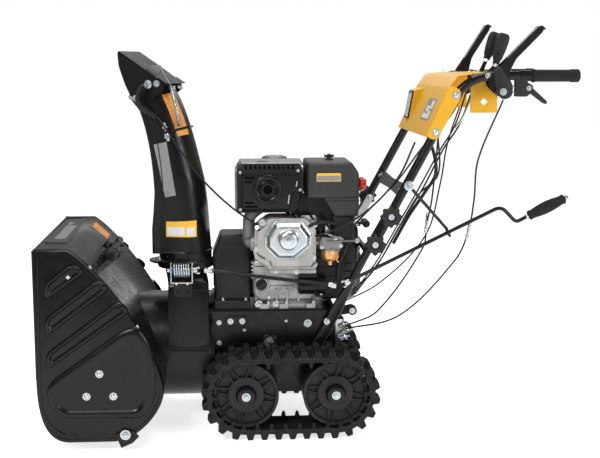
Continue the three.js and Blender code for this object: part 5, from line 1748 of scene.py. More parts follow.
def air_box():
    """Air filter cover with a waist seam, soft shoulders and a notch over the carburetor."""
    mesh = bmesh.new()
    x0, x1, z0, z1 = AIR_BOX.x0, AIR_BOX.x1, AIR_BOX.z0, AIR_BOX.z1
    seam = z0 + 51
    front, back = AIR_BOX.y0, AIR_BOX.y1
    upper = [(x0, seam + 1), (x1, seam + 1), (x1 - 1, z1 - 34), (x1 - 24, z1), (x0, z1)]
    pillow(mesh, "y", rounded(upper, 9), [(22, front - 1), (10, front), (4, front + 3), (1, front + 9),
                                          (0, front + 18), (0, back - 14), (3, back - 3), (10, back)])
    lower = [(x0 + 50, seam - 0.5), (x0 + 80, z0), (x1 - 3, z0), (x1, seam - 0.5)]
    pillow(mesh, "y", rounded(lower, 5), [(10, front + 1), (4, front + 3), (1, front + 8), (0, front + 14),
                                          (0, back - 10), (6, back)])
    band = [(x0 + 52, seam - 3), (x1 - 2, seam - 3), (x1 - 2, seam + 4), (x0 + 52, seam + 4)]
    prism(mesh, "y", band, front + 5, back - 5)
    piece("air_box", "chassis", GREY_PLASTIC, mesh, smooth=45, replaces=["air_box"])
    mesh = bmesh.new()
    label = box_outline(x0 + 28, x0 + 98, z1 - 56, z1 - 32, 2)
    prism(mesh, "y", label, front - 1.6, front + 4)
    piece("air_box_label", "chassis", LABEL_YELLOW, mesh)
    mesh = bmesh.new()
    label = box_outline(x0 + 30, x0 + 96, z1 - 54, z1 - 39, 2)
    prism(mesh, "y", label, front - 2.1, front + 4)
    piece("air_box_label_panel", "chassis", LABEL_GREY, mesh)
    mesh = bmesh.new()
    knob = (x0 + 72, (front + back) / 2, z1 - 2)
    lathe(mesh, knob, (0, 0, 1), [(12, 0), (12, 4), (6, 6), (5, 12), (7, 14), (7, 17), (4, 19)], 24)
    for lean in (LEFT, RIGHT):
        corners = ((4, 5), (14, 8), (16, 14), (12, 15), (4, 11))
        wing = rounded([(knob[0] + out * lean, z1 + up) for out, up in corners], 2)
        prism(mesh, "y", wing, knob[1] - 2, knob[1] + 2)
    piece("air_box_wing_nut", "chassis", PLASTIC, mesh, smooth=35)


def intake_duct():
    """Ribbed intake duct below the filter and the black bracket behind the carburetor."""
    mesh = bmesh.new()
    x0, x1, z0 = AIR_BOX.x0 + 74, AIR_BOX.x1 - 16, AIR_BOX.z0
    duct = box_outline(x0, x1, -178, -110, 12)
    pillow(mesh, "z", duct, [(8, z0 - 84), (2, z0 - 80), (0, z0 - 72), (0, z0 - 6), (4, z0 + 2)])
    for i in range(5):
        x = x0 + 8 + i * 11
        tube(mesh, [(x, -178, z0 - 10), (x, -178, z0 - 62)], 2.4, 8)
    plate = box_outline(80, 170, DECK + 34, 690, 8)
    prism(mesh, "y", plate, -118, -113)
    shield = rounded([(10, 590), (150, 590), (150, 668), (112, 700), (30, 700), (10, 668)], 10)
    prism(mesh, "y", shield, -146, -112)
    guard = rounded([(-150, DECK + 20), (-56, DECK + 20), (-56, 596), (-112, 596), (-150, 540)], 10)
    prism(mesh, "y", guard, -40, -34)
    for z in (392, 420, 448, 476, 504):
        tube(mesh, [(80, -119, z), (146, -119, z)], 2.0, 8)
    piece("intake_duct", "chassis", PLASTIC, mesh, 0.8)


def carburetor():
    """Cast body with its flange, choke shaft, screws and float bowl."""
    mesh = bmesh.new()
    x0, x1 = CARB.x0, CARB.x1
    body = rounded([(x0 + 4, 540), (x1 - 6, 540), (x1 - 2, 556), (x1 - 10, 576), (x0 + 14, 580),
                    (x0 + 2, 566)], 6)
    pillow(mesh, "y", body, [(3, -186), (0, -182), (0, -140), (3, -134)])
    lathe(mesh, (x0 - 2, -160, 562), (1, 0, 0), [(24, -10), (24, -4), (17, -2), (17, 30), (20, 34),
                                                 (20, 62), (24, 66), (24, 72)], 32)
    lathe(mesh, (x0 + 38, -160, 536), (0, 0, 1), [(29, 0), (29, 6), (22, 8)], 36)
    lathe(mesh, (x1 - 14, -152, 576), (0, 0, 1), [(12, 0), (12, 20), (9, 24), (9, 56)], 24)
    tube(mesh, [(x0 + 8, -190, 566), (x1 + 44, -186, 566)], 3, 10)
    block(mesh, x0 + 10, x0 + 26, -192, -186, 552, 578)
    piece("carburetor", "chassis", GREY_STEEL, mesh, 0.8, replaces=["carburetor"])
    mesh = bmesh.new()
    bowl = (x0 + 38, -160, 500)
    lathe(mesh, bowl, (0, 0, 1), [(6, 2), (20, 6), (25, 10), (27, 16), (27, 33), (29, 34), (29, 36.5)], 40)
    lathe(mesh, (bowl[0], bowl[1], bowl[2] - 4), (0, 0, 1), [(4, -6), (8, -5), (8, 3), (10, 3), (10, 7)], 6)
    tube(mesh, [(bowl[0] + 16, -176, 512), (bowl[0] + 22, -184, 504)], 3.4, 8)
    piece("float_bowl", "chassis", BOWL, mesh, smooth=40)
    mesh = bmesh.new()
    for x, z in ((x0 + 12, 548), (x0 + 52, 572), (x1 - 8, 552)):
        bolt(mesh, (x, -187, z), (0, -1, 0), 4)
    bolt(mesh, (x1 + 40, -186, 566), (0, -1, 0), 5)
    coil(mesh, (x0 + 30, -192, 586), (x0 + 74, -192, 572), 3.4, 0.9, 12)
    strut = rounded([(34, 640), (78, 640), (84, 626), (66, 616), (44, 620)], 4)
    prism(mesh, "y", strut, -170, -167)
    lever = rounded([(x0 + 20, 584), (x0 + 32, 588), (x0 + 34, 616), (x0 + 24, 618)], 4)
    prism(mesh, "y", lever, -183, -180)
    piece("carburetor_linkage", "chassis", ZINC, mesh)


def engine_hoses():
    """Breather and fuel hoses that cross between the muffler, the head and the carburetor."""
    mesh = bmesh.new()
    paths = (
        ([(14, -176, 654), (28, -196, 628), (56, -198, 606), (70, -180, 588)], 6.5),
        ([(44, -190, 596), (62, -206, 618), (96, -204, 626), (132, -188, 618)], 5.5),
        ([(-6, -160, 650), (8, -188, 642), (30, -196, 600), (58, -188, 576)], 4.5),
        ([(96, -150, 640), (104, -186, 622), (122, -190, 600), (128, -176, 580)], 4.0),
        ([(58, -150, 646), (66, -182, 636), (92, -192, 604), (90, -188, 584)], 3.2),
        ([(150, -120, 640), (176, -172, 600), (170, -176, 540), (150, -150, 500), (146, -126, 440)], 4.0),
    )
    for corners, radius in paths:
        tube(mesh, rounded(corners, 30, 6, closed=False), radius, 12)
    for spot, heading in (((70, -180, 588), (0.6, 0.5, -0.6)), ((44, -190, 596), (-0.6, 0.5, -0.7))):
        lathe(mesh, spot, heading, [(8, -6), (8, 2)], 14)
    piece("engine_hoses", "chassis", HOSE, mesh, smooth=50)


def fan_housing():
    """Blower housing with a slotted recoil cover and side bolts."""
    mesh = bmesh.new()
    x0, x1 = FAN.x0, FAN.x1 - 13
    outline = [(-102, CRANKSHAFT.z)] + arc((0, CRANKSHAFT.z), 102, 180, 360, 28)[1:]
    outline += [(102, FAN.z1 - 14), (88, FAN.z1), (-88, FAN.z1), (-102, FAN.z1 - 14)]
    pillow(mesh, "x", outline, [(0, x0), (0, x1 - 16), (3, x1 - 8), (10, x1 - 2), (18, x1)])
    dome = [(84, 0), (84, 5), (80, 9), (68, 12), (40, 14), (20, 15)]
    lathe(mesh, (x1 - 2, 0, CRANKSHAFT.z), (1, 0, 0), dome, 56)
    for i in range(18):
        angle = 2 * math.pi * i / 18
        inner = Vector((x1 + 12, 34 * math.cos(angle), CRANKSHAFT.z + 34 * math.sin(angle)))
        outer = Vector((x1 + 9.5, 72 * math.cos(angle), CRANKSHAFT.z + 72 * math.sin(angle)))
        tube(mesh, [inner, outer], 2.6, 8)
    for z in (372, 396, 420, 444):
        tube(mesh, [(x0 + 12, -104, z + 40), (x1 - 22, -104, z + 40)], 2.2, 8)
    piece("fan_housing", "chassis", BLACK, mesh, smooth=40, replaces=["fan_housing"])
    mesh = bmesh.new()
    for angle in (45, 135, 225, 315):
        turn = math.radians(angle)
        bolt(mesh, (x1 + 3, 80 * math.cos(turn), CRANKSHAFT.z + 80 * math.sin(turn)), (1, 0, 0), 5)
    for z in (480, 540, 585):
        bolt(mesh, (x0 + 30, -102, z), (0, -1, 0), 5)
        bolt(mesh, (x0 + 30, 102, z), (0, 1, 0), 5)
    piece("fan_housing_bolts", "chassis", ZINC, mesh)


def starter_motor():
    starter = Span("starter_motor")
    mesh = bmesh.new()
    centre = (starter.x0, starter.y, starter.z)
    length = starter.x1 - starter.x0
    lathe(mesh, centre, (1, 0, 0), [(20, 0), (26, 3), (27, 8), (27, length * 0.6), (25, length * 0.62),
                                    (25, length * 0.7), (27, length * 0.72), (27, length)], 36)
    cap = box_outline(starter.y - 12, starter.y + 14, starter.z + 22, starter.z + 40, 6)
    prism(mesh, "x", cap, starter.x0 + 8, starter.x0 + 58)
    piece("starter_motor", "chassis", BLACK, mesh, 0.6, replaces=["starter_motor"])
    mesh = bmesh.new()
    bolt(mesh, (starter.x0 - 0.5, starter.y, starter.z), (-1, 0, 0), 6)
    bolt(mesh, (starter.x0 + 70, starter.y, starter.z - 27), (0, 0, -1), 4)
    piece("starter_motor_bolts", "chassis", ZINC, mesh)


def fuel_tank():
    """Pressed tank in two halves with a rolled seam, its filler neck and ribbed cap."""
    tank = Span("fuel_tank")
    mesh = bmesh.new()
    outline = box_outline(tank.x0, tank.x1, tank.y0, tank.y1, 34, 8)
    middle = tank.z0 + 60
    top = 770
    pillow(mesh, "z", outline, [(24, tank.z0), (12, tank.z0 + 3), (5, tank.z0 + 10), (3, tank.z0 + 22),
                                (3, middle - 2), (0, middle - 1.5), (0, middle + 1.5), (3, middle + 2),
                                (3, top - 22), (6, top - 10), (14, top - 2), (26, top)])
    cap = PIVOT["fuel_cap_turn"]
    lathe(mesh, (cap.x, cap.y, top - 2), (0, 0, 1), [(34, 0), (30, 3), (30, 9)], 36)
    piece("fuel_tank", "chassis", BLACK, mesh, smooth=45, replaces=["fuel_tank"])
    span = Span("fuel_cap")
    mesh = bmesh.new()
    rim = []
    for height, radius in ((0, 36), (1.5, 38.5), (11, 38.5), (14, 36)):
        rim.append([(cap.x + (radius + 0.9 * (k % 2)) * math.cos(2 * math.pi * k / 72),
                     cap.y + (radius + 0.9 * (k % 2)) * math.sin(2 * math.pi * k / 72), span.z0 + height)
                    for k in range(72)])
    skin(mesh, rim)
    lathe(mesh, (cap.x, cap.y, span.z0 + 13), (0, 0, 1), [(35, 0), (33, 2.5), (20, 4.5), (4, 5.2)], 40)
    grip = box_outline(cap.x - 26, cap.x + 26, cap.y - 5, cap.y + 5, 4)
    pillow(mesh, "z", grip, [(0, span.z0 + 14), (0, span.z1 - 1), (2, span.z1)])
    piece("fuel_cap", "fuel_cap", GREY_STEEL, mesh, smooth=40, replaces=["fuel_cap"])


def knobs():
    """Red choke knob and the recoil starter's handle with its rope."""
    knob = Span("choke_knob")
    centre = PIVOT["choke_turn"]
    mesh = bmesh.new()
    rings = []
    for height, radius in ((0, 6), (7, 6), (8, 17), (10, 20), (19, 20), (23, 17), (25, 12)):
        wave = 1.4 if 8 <= height < 23 else 0
        rings.append([(knob.x0 + height, a, b) for a, b in lobed((centre.y, centre.z), radius, wave, 48)])
    skin(mesh, rings)
    blade = box_outline(centre.y - 5, centre.y + 5, centre.z - 15, centre.z + 15, 4)
    pillow(mesh, "x", blade, [(0, knob.x0 + 22), (0, knob.x1 + 3), (2, knob.x1 + 5)])
    piece("choke_knob", "choke_knob", RED, mesh, smooth=40, replaces=["choke_knob"])
    pull = Span("recoil_handle")
    mesh = bmesh.new()
    x, z = pull.x1 - 9, 600
    profile = [(5, 0), (10, 3), (11.5, 10), (10, 20), (9, 32), (10, 44), (11.5, 54), (10, 61), (5, 64)]
    lathe(mesh, (x, pull.y0, z), (0, 1, 0), profile, 28)
    tube(mesh, [(pull.x0, -60, z), (x, -60, z)], 4, 12)
    piece("recoil_handle", "recoil", PLASTIC, mesh, smooth=45, replaces=["recoil_handle"])


crankcase()
cylinder_head()
valve_cover()
muffler()
exhaust_elbow()
air_box()
intake_duct()
carburetor()
engine_hoses()
fan_housing()
starter_motor()
fuel_tank()
knobs()


# ------------------------------------------------------------------ handles
UPPER = Span("upper_handle")
LOWER = Span("lower_handle")
GRIP_SPAN = Span("left_grip")
BAR_Z = GRIP_SPAN.z
BAR_Y = abs(GRIP_SPAN.y)
LAP_LOW = (242, 566)
LAP_HIGH = (287, 646)


def handle_tubes():
    """Upper tubes bent back into the bar, the brace between them and the lower legs with flattened feet."""
    mesh = bmesh.new()
    for side in (LEFT, RIGHT):
        y = side * BAR_Y
        path = rounded([(UPPER.x0 + 12, y, UPPER.z0 + 6), (501, y, BAR_Z), (UPPER.x1, y, BAR_Z)], 84, 12,
                       closed=False)
        path = stretched(path, 60)
        tube(mesh, path, 13, 28)
    piece("upper_tubes", "chassis", TUBE_BLACK, mesh, smooth=50, replaces=["upper_handle"])
    mesh = bmesh.new()
    lean = math.radians(-61.7)
    place = Matrix.Translation((324, 0, 716)) @ Matrix.Rotation(lean, 4, "Y")
    rings = []
    for i in range(13):
        y = -BAR_Y + 6 + (2 * BAR_Y - 12) * i / 12
        swell = 17 + 5 * abs(i - 6) / 6
        rings.append([(-swell, y, -1.2), (swell, y, -1.2), (swell - 2, y, 1.6), (8, y, 2.6), (-8, y, 2.6),
                      (-swell + 2, y, 1.6)])
    moved(skin(mesh, rings), place)
    for side in (LEFT, RIGHT):
        x, z = PIVOT["left_clutch_squeeze"].x, PIVOT["left_clutch_squeeze"].z
        middle = side * BAR_Y
        tab = rounded([(x - 17, z - 4), (x - 8, z - 14), (x + 8, z - 14), (x + 17, z - 4),
                       (x + 17, BAR_Z - 8), (x - 17, BAR_Z - 8)], 5)
        prism(mesh, "y", tab, middle - 6, middle + 6)
        for start, end in ((x - 22, x + 26), (x + 52, x + 88)):
            length = end - start
            collar = [(13, 0), (15.5, 1), (15.5, length - 1), (13, length)]
            lathe(mesh, (start, middle, BAR_Z), (1, 0, 0), collar, 28)
    piece("handle_brace_and_brackets", "chassis", BLACK, mesh, 0.8)
    mesh = bmesh.new()
    for side in (LEFT, RIGHT):
        lower_leg(mesh, side)
    tube(mesh, [(226.5, -206, 537), (226.5, 206, 537)], 9, 18)
    piece("lower_legs", "chassis", TUBE_BLACK, mesh, smooth=45, replaces=["lower_handle"])
    mesh = bmesh.new()
    for side in (LEFT, RIGHT):
        for x, z in ((LOWER.x0 + 14, LOWER.z0 + 14), (LOWER.x0 + 48, 318)):
            bolt(mesh, (x, side * 151, z), (0, side, 0), 7.5, 6)
        for offset in (-22, 22):
            bolt(mesh, (324 + offset * 0.15, side * (BAR_Y - 30), 719 + offset * 0.1), (-0.88, 0, 0.47), 5)
    piece("handle_bolts", "chassis", ZINC, mesh)
    mesh = bmesh.new()
    for side in (LEFT, RIGHT):
        bolt(mesh, (UPPER.x1 - 259, side * (BAR_Y + 12.5), BAR_Z), (0, side, 0), 6, 4.5)
    piece("bar_bolts", "chassis", ZINC, mesh)


def lower_leg(mesh, side):
    """Leg pressed flat where it bolts to the frame and round where it meets the upper tube."""
    foot_y, top_y = 143.5, 208.5
    corners = [(LOWER.x0 + 8, side * foot_y, LOWER.z0 + 2), (LOWER.x0 + 57, side * foot_y, 318),
               (232, side * top_y, 548), (LOWER.x1 - 10, side * top_y, LOWER.z1 - 8)]
    path = stretched(rounded(corners, 44, 8, closed=False), 22)
    rings = []
    for i, point in enumerate(path):
        heading = (path[min(i + 1, len(path) - 1)] - path[max(i - 1, 0)]).normalized()
        wide = heading.cross(Vector((0, 1, 0))).normalized()
        thick = heading.cross(wide)
        flat = max(0.0, min(1.0, (430 - point.z) / 60))
        ring = []
        for a, b in disc((0, 0), 1, 28):
            square = 1 - 0.35 * flat
            a, b = (math.copysign(abs(a) ** square, a), math.copysign(abs(b) ** square, b))
            ring.append(point + wide * a * (12 + 4.5 * flat) + thick * b * (12 - 4.8 * flat))
        rings.append(ring)
    skin(mesh, rings)


def clamp_knobs(name, side):
    """Lobed plastic knobs on the bolts that join the upper and lower handles."""
    mesh = bmesh.new()
    metal = bmesh.new()
    tube_face = BAR_Y + 13.5
    for x, z in (LAP_LOW, LAP_HIGH):
        rings = []
        for height, radius, wave in ((6, 20, 1.0), (8, 26, 2.4), (12, 28.5, 3.2), (19, 28.5, 3.2),
                                     (23, 26, 2.6), (25, 21, 1.0), (25.5, 13, 0), (21, 11, 0)):
            outline = lobed((x, z), radius, wave, 96)
            rings.append([lift("y", a, b, side * (tube_face + height)) for a, b in outline])
        skin(mesh, rings)
        lathe(mesh, (x, side * (tube_face - 1), z), (0, side, 0), [(17, 0), (17, 3), (13, 5), (13, 8)], 28)
        bolt(metal, (x, side * (tube_face + 21.2), z), (0, side, 0), 6, 3.5)
        lathe(metal, (x, side * (BAR_Y - 40), z), (0, side, 0), [(4.5, 0), (4.5, 52)], 12)
        bolt(metal, (x, side * (BAR_Y - 39), z), (0, -side, 0), 8, 6)
    middle = Vector(((LAP_LOW[0] + LAP_HIGH[0]) / 2, (LAP_LOW[1] + LAP_HIGH[1]) / 2))
    run = (Vector(LAP_HIGH) - Vector(LAP_LOW)) * 0.6
    across = Vector((run.y, -run.x)).normalized() * 11
    tie = [tuple(middle - run - across), tuple(middle + run - across), tuple(middle + run + across),
           tuple(middle - run + across)]
    prism(metal, "y", rounded(tie, 8), side * (BAR_Y - 41), side * (BAR_Y - 38))
    piece(name, "chassis", PLASTIC, mesh, smooth=40, replaces=[name])
    piece(name + "_bolts", "chassis", ZINC, metal)


def hand_grip(name, side):
    """Rubber grip with a flared front collar, fine rings and a rounded end."""
    span = Span(name)
    mesh = bmesh.new()
    length = span.x1 - span.x0
    profile = [(13.6, 0), (18, 0.5), (19, 3), (19, 9), (17, 12)]
    for i in range(26):
        height = 16 + (length - 46) * i / 26
        profile += [(17.4, height), (16.9, height + 1.6)]
    profile += [(17.4, length - 28), (18.6, length - 24), (18.8, length - 6), (17.5, length - 2),
                (14, length), (4, length)]
    lathe(mesh, (span.x0, side * BAR_Y, BAR_Z), (1, 0, 0), profile, 40)
    piece(name, "chassis", GRIP, mesh, smooth=35, replaces=[name])


handle_tubes()
clamp_knobs("left_handle_clamp", LEFT)
clamp_knobs("right_handle_clamp", RIGHT)
hand_grip("left_grip", LEFT)
hand_grip("right_grip", RIGHT)


# ------------------------------------------------------------------ console
CONSOLE = Span("console_panel")
CONSOLE_SHEET = 2.5


def console():
    """Folded yellow console: sloping front, top plate, flanged cheeks and the hangers behind the bar."""
    mesh = bmesh.new()
    x0, z0 = CONSOLE.x0, CONSOLE.z0
    half = CONSOLE.y1
    front = rounded([(x0, z0 + 8), (x0 + 62, z0 + 147), (x0 + 88, z0 + 182), (x0 + 128, z0 + 186)], 7, 5,
                    closed=False)
    front = [Vector(point) for point in front]
    rings = []
    for i, point in enumerate(front):
        heading = (front[min(i + 1, len(front) - 1)] - front[max(i - 1, 0)]).normalized()
        under = point + Vector((heading.y, -heading.x)) * CONSOLE_SHEET
        rings.append([(point.x, -half, point.y), (point.x, half, point.y), (under.x, half, under.y),
                      (under.x, -half, under.y)])
    skin(mesh, rings)
    cheek = rounded([(x0 + 2, z0 + 8), (x0 + 23, z0 - 1), (x0 + 40, z0 + 8), (x0 + 44, z0 + 24),
                     (x0 + 97, z0 + 115), (x0 + 98, z0 + 137), (x0 + 80, z0 + 150), (x0 + 66, z0 + 150)],
                    9)
    for side in (LEFT, RIGHT):
        low, high = sorted((side * (half - CONSOLE_SHEET), side * half))
        prism(mesh, "y", cheek, low, high)
    top = box_outline(x0 + 118, x0 + 276, -216, 216, 10)
    slope = Matrix(((1, 0, 0, 0), (0, 1, 0, 0), (0.035, 0, 1, z0 + 186 - 0.035 * (x0 + 118)), (0, 0, 0, 1)))
    moved(slotted_plate(mesh, top, x0), slope)
    for side in (LEFT, RIGHT):
        hanger_plate(mesh, side * 200, x0 + 136, x0 + 215, z0 + 74, z0 + 187)
    rim = [(x0 + 276, -210, z0 + 189), (x0 + 276, 210, z0 + 189)]
    tube(mesh, rim, 3, 10)
    piece("console_panel", "chassis", YELLOW, mesh, 0.7, replaces=["console_panel"])


def slotted_plate(mesh, outline, x0):
    """Console top, built as strips that leave the two lever slots open."""
    near, far = min(p[0] for p in outline), max(p[0] for p in outline)
    slot0, slot1 = x0 + 190, x0 + 254
    parts = []
    for a, b, c, d in ((near, slot0, -216, 216), (slot1, far, -216, 216), (slot0, slot1, -216, -32),
                       (slot0, slot1, -12, 12), (slot0, slot1, 32, 216)):
        parts += block(mesh, a, b, c, d, -CONSOLE_SHEET, 0)
    return parts


def hanger_plate(mesh, y, x0, x1, z0, z1):
    """Bracket under the top plate with a round hole that has four small notches."""
    middle = ((x0 + x1) / 2, z0 + 31)
    edge, hole = [], []
    count = 96
    for k in range(count):
        angle = 2 * math.pi * k / count
        a, b = math.cos(angle), math.sin(angle)
        limits = [(x1 - middle[0]) / a if a > 1e-6 else (x0 - middle[0]) / a if a < -1e-6 else 1e9,
                  (z1 - middle[1]) / b if b > 1e-6 else (z0 - middle[1]) / b if b < -1e-6 else 1e9]
        reach = min(limits)
        radius = 8 + 5 * max(0.0, math.cos(4 * angle)) ** 10
        edge.append((middle[0] + a * reach, middle[1] + b * reach))
        hole.append((middle[0] + a * radius, middle[1] + b * radius))
    rings = [[lift("y", a, b, y + offset) for a, b in line]
             for line, offset in ((edge, -1.2), (edge, 1.2), (hole, 1.2), (hole, -1.2))]
    skin(mesh, rings, "join")


def front_face(y, up, out):
    """Point on the console's sloping front: distance up the slope from its lower edge and out from it."""
    x0, z0 = CONSOLE.x0, CONSOLE.z0 + 8
    lean = Vector((62, 139)).normalized()
    spot = Vector((x0, z0)) + lean * up + Vector((-lean.y, lean.x)) * out
    return (spot.x, y, spot.y)


def console_fittings():
    """Headlight pod, blank name plate and bolts, with domed bolts on the cheeks."""
    lamp = Span("headlight")
    low_front, high_front = (CONSOLE.x0 + 13, CONSOLE.z0 + 38), (CONSOLE.x0 + 30, CONSOLE.z0 + 132)
    low_back, high_back = (CONSOLE.x0 + 22, CONSOLE.z0 + 30), (CONSOLE.x0 + 62, CONSOLE.z0 + 140)
    mesh = bmesh.new()
    side_view = [low_front, high_front, high_back, low_back]
    pillow(mesh, "y", rounded(side_view, 5), [(3, lamp.y0 - 8), (0, lamp.y0 - 5), (0, lamp.y1 + 5),
                                              (3, lamp.y1 + 8)])
    piece("lamp_pod", "chassis", YELLOW, mesh, smooth=45)
    up = (Vector(high_front) - Vector(low_front)).normalized()
    out = Vector((-up.y, up.x))
    height = (Vector(high_front) - Vector(low_front)).length

    def lens_face(y, along, outward):
        spot = Vector(low_front) + up * along + out * outward
        return (spot.x, y, spot.y)

    def lens_ring(outward, margin):
        outline = rounded([(lamp.y0 + margin, margin + 3), (lamp.y1 - margin, margin + 3),
                           (lamp.y1 - margin, height - margin - 3),
                           (lamp.y0 + margin, height - margin - 3)], 8)
        return [lens_face(y, along, outward) for y, along in outline]

    mesh = bmesh.new()
    skin(mesh, [lens_ring(-2, 0), lens_ring(4, 0), lens_ring(5, 1.5), lens_ring(4, 6), lens_ring(-2, 6)],
         "join")
    piece("headlight_frame", "chassis", HOSE, mesh, 0.5)
    mesh = bmesh.new()
    skin(mesh, [lens_ring(-1, 6), lens_ring(2.5, 6), lens_ring(4, 9), lens_ring(4.6, 14)])
    for i in range(8):
        y = lamp.y0 + 13 + 5.4 * i
        tube(mesh, [lens_face(y, 16, 4.4), lens_face(y, height - 16, 4.4)], 1.2, 8)
    piece("headlight", "chassis", LENS, mesh, smooth=40, replaces=["headlight"])
    mesh = bmesh.new()
    skin(mesh, [[front_face(y, up, out) for y, up in ((-165, 46), (-55, 46), (-55, 114), (-165, 114))]
                for out in (-0.5, 1.2)])
    piece("console_name_plate", "chassis", LABEL_GREY, mesh)
    mesh = bmesh.new()
    for y0, y1, up0, up1 in ((-159, -126, 51, 76), (-159, -126, 82, 108), (-118, -64, 51, 66),
                             (-118, -80, 72, 90)):
        skin(mesh, [[front_face(y, up, out) for y, up in ((y0, up0), (y1, up0), (y1, up1), (y0, up1))]
                    for out in (0.5, 1.9)])
    piece("console_plate_blanks", "chassis", LABEL_WHITE, mesh)
    mesh = bmesh.new()
    for side in (LEFT, RIGHT):
        for x, z in ((CONSOLE.x0 + 84, CONSOLE.z0 + 125), (CONSOLE.x0 + 28, CONSOLE.z0 + 21)):
            bolt(mesh, (x, side * CONSOLE.y1, z), (0, side, 0), 8, 6, True, True)
    for x in (520, 545, 640):
        for side in (LEFT, RIGHT):
            bolt(mesh, (x, side * 190, CONSOLE.z1 + 0.5), (0, 0, 1), 4.5, 3, False, True)
    piece("console_bolts", "chassis", ZINC, mesh)
    mesh = bmesh.new()
    pin = PIVOT["speed_lever_tilt"]
    lathe(mesh, (pin.x, -48, pin.z), (0, 1, 0), [(4, 0), (4, 96)], 16)
    for y in (-47, 45):
        tab = rounded([(pin.x - 10, pin.z - 9), (pin.x + 10, pin.z - 9), (pin.x + 12, CONSOLE.z1 - 4),
                       (pin.x - 12, CONSOLE.z1 - 4)], 6)
        prism(mesh, "y", tab, y, y + 3)
    piece("lever_pin", "chassis", BLACK, mesh, 0.5)
    mesh = bmesh.new()
    for y in (-22, 22):
        block(mesh, 590, 626, y - 15, y - 11, CONSOLE.z1 - 0.8, CONSOLE.z1 + 1.4)
        block(mesh, 590, 626, y + 11, y + 15, CONSOLE.z1 - 0.8, CONSOLE.z1 + 1.4)
    piece("lever_slot_brushes", "chassis", GRIP, mesh, 0.5)


console()
console_fittings()


# ------------------------------------------------------------------ levers
def clutch_lever(name, joint, side, rest):
    """Squeeze lever: a deep channel over the bar, tapered towards a rounded grip, with a pivot boss."""
    pivot = PIVOT[joint]
    middle = side * BAR_Y
    place = in_plane(pivot, middle, rest)
    mesh = bmesh.new()
    cheek = rounded([(-14, -8), (8, -12), (20, 4), (60, 27), (92, 37.5), (198, 37), (211, 44), (206, 56),
                     (84, 56), (0, 58), (-16, 40)], 8)
    for near in (13.8, -16.4):
        pillow(mesh, "y", cheek, [(0.8, near), (0, near + 0.8), (0, near + 1.8), (0.8, near + 2.6)])
    rings = []
    for along, half, top in ((80, 16, 56.5), (110, 16, 57), (170, 15.5, 57), (200, 15, 56), (211, 13, 50)):
        rings.append([(along, -half, top - 15), (along, -half, top - 4), (along, -half + 4, top),
                      (along, half - 4, top), (along, half, top - 4), (along, half, top - 15)])
    skin(mesh, rings)
    moved(mesh.verts, place)
    piece(name, name, BLACK, mesh, 1.0, replaces=[name])
    mesh = bmesh.new()
    shell = [(-29, 58), (-8, 75), (30, 19), (28, -14), (1, -24), (-20, -1)]
    face = side * 16.6
    pillow(mesh, "y", rounded(shell, 16, 6), [(0, face - side), (0, face + side * 3), (2, face + side * 6),
                                              (6, face + side * 8)])
    oval = rounded([(-16, -13), (13, -13), (20, 2), (13, 17), (-16, 17), (-22, 2)], 12, 5)
    pillow(mesh, "y", oval, [(0, face + side * 7), (1, face + side * 10.5), (4, face + side * 11.5)])
    moved(mesh.verts, Matrix.Translation((pivot.x, middle, pivot.z)))
    piece(name + "_pivot_cover", name, PLASTIC, mesh, smooth=40)
    mesh = bmesh.new()
    bolt(mesh, (pivot.x, middle + side * 28, pivot.z), (0, side, 0), 7, 5)
    lathe(mesh, (pivot.x, middle - 16, pivot.z), (0, 1, 0), [(4.8, 0), (4.8, 32)], 14)
    piece(name + "_bolt", name, ZINC, mesh)


def in_plane(pivot, y, rest):
    """Placement that turns along and up into a direction, in degrees above level, in a plane at y."""
    heading = math.radians(rest)
    return Matrix((
        (math.cos(heading), 0, -math.sin(heading), pivot.x), (0, 1, 0, y),
        (math.sin(heading), 0, math.cos(heading), pivot.z), (0, 0, 0, 1),
    ))


def steering_trigger(name, joint, side):
    """Finger trigger with a rounded blade in its clamp block."""
    pivot = PIVOT[joint]
    middle = side * BAR_Y
    x, z = pivot.x, pivot.z
    mesh = bmesh.new()
    blade = rounded([(x - 9, z + 3), (x + 2, z + 9), (x + 14, z - 1), (x + 56, z - 38), (x + 54, z - 46),
                     (x + 44, z - 43), (x - 2, z - 9)], 5)
    pillow(mesh, "y", blade, [(1.5, middle - 6), (0, middle - 4.5), (0, middle + 4.5), (1.5, middle + 6)])
    piece(name, joint_child(joint), PLASTIC, mesh, smooth=35, replaces=[name])
    mesh = bmesh.new()
    clamp = rounded([(x - 38, z - 24), (x - 4, z - 24), (x + 12, z - 8), (x + 12, z + 8), (x - 4, z + 16),
                     (x - 4, BAR_Z - 6), (x - 38, BAR_Z - 6)], 4)
    for near in (-11, 6.6):
        prism(mesh, "y", clamp, middle + near, middle + near + 4.4)
    block(mesh, x - 36, x - 12, middle - 10, middle + 10, z - 22, BAR_Z - 8)
    piece(name + "_block", "chassis", PLASTIC, mesh, 1.2)
    mesh = bmesh.new()
    bolt(mesh, (x, middle + side * 11, z), (0, side, 0), 5, 4)
    tube(mesh, [(x - 36, middle, z + 4), (x - 52, middle, z + 5)], 3.2, 10)
    tube(mesh, [(x - 36, middle, z - 12), (x - 50, middle, z - 13)], 2.4, 10)
    block(mesh, x - 56, x - 50, middle - 6, middle + 6, z - 16, z + 9)
    piece(name + "_bolt", "chassis", ZINC, mesh)


def joint_child(name):
    return next(joint["child"] for joint in frame["joints"] if joint["name"] == name)


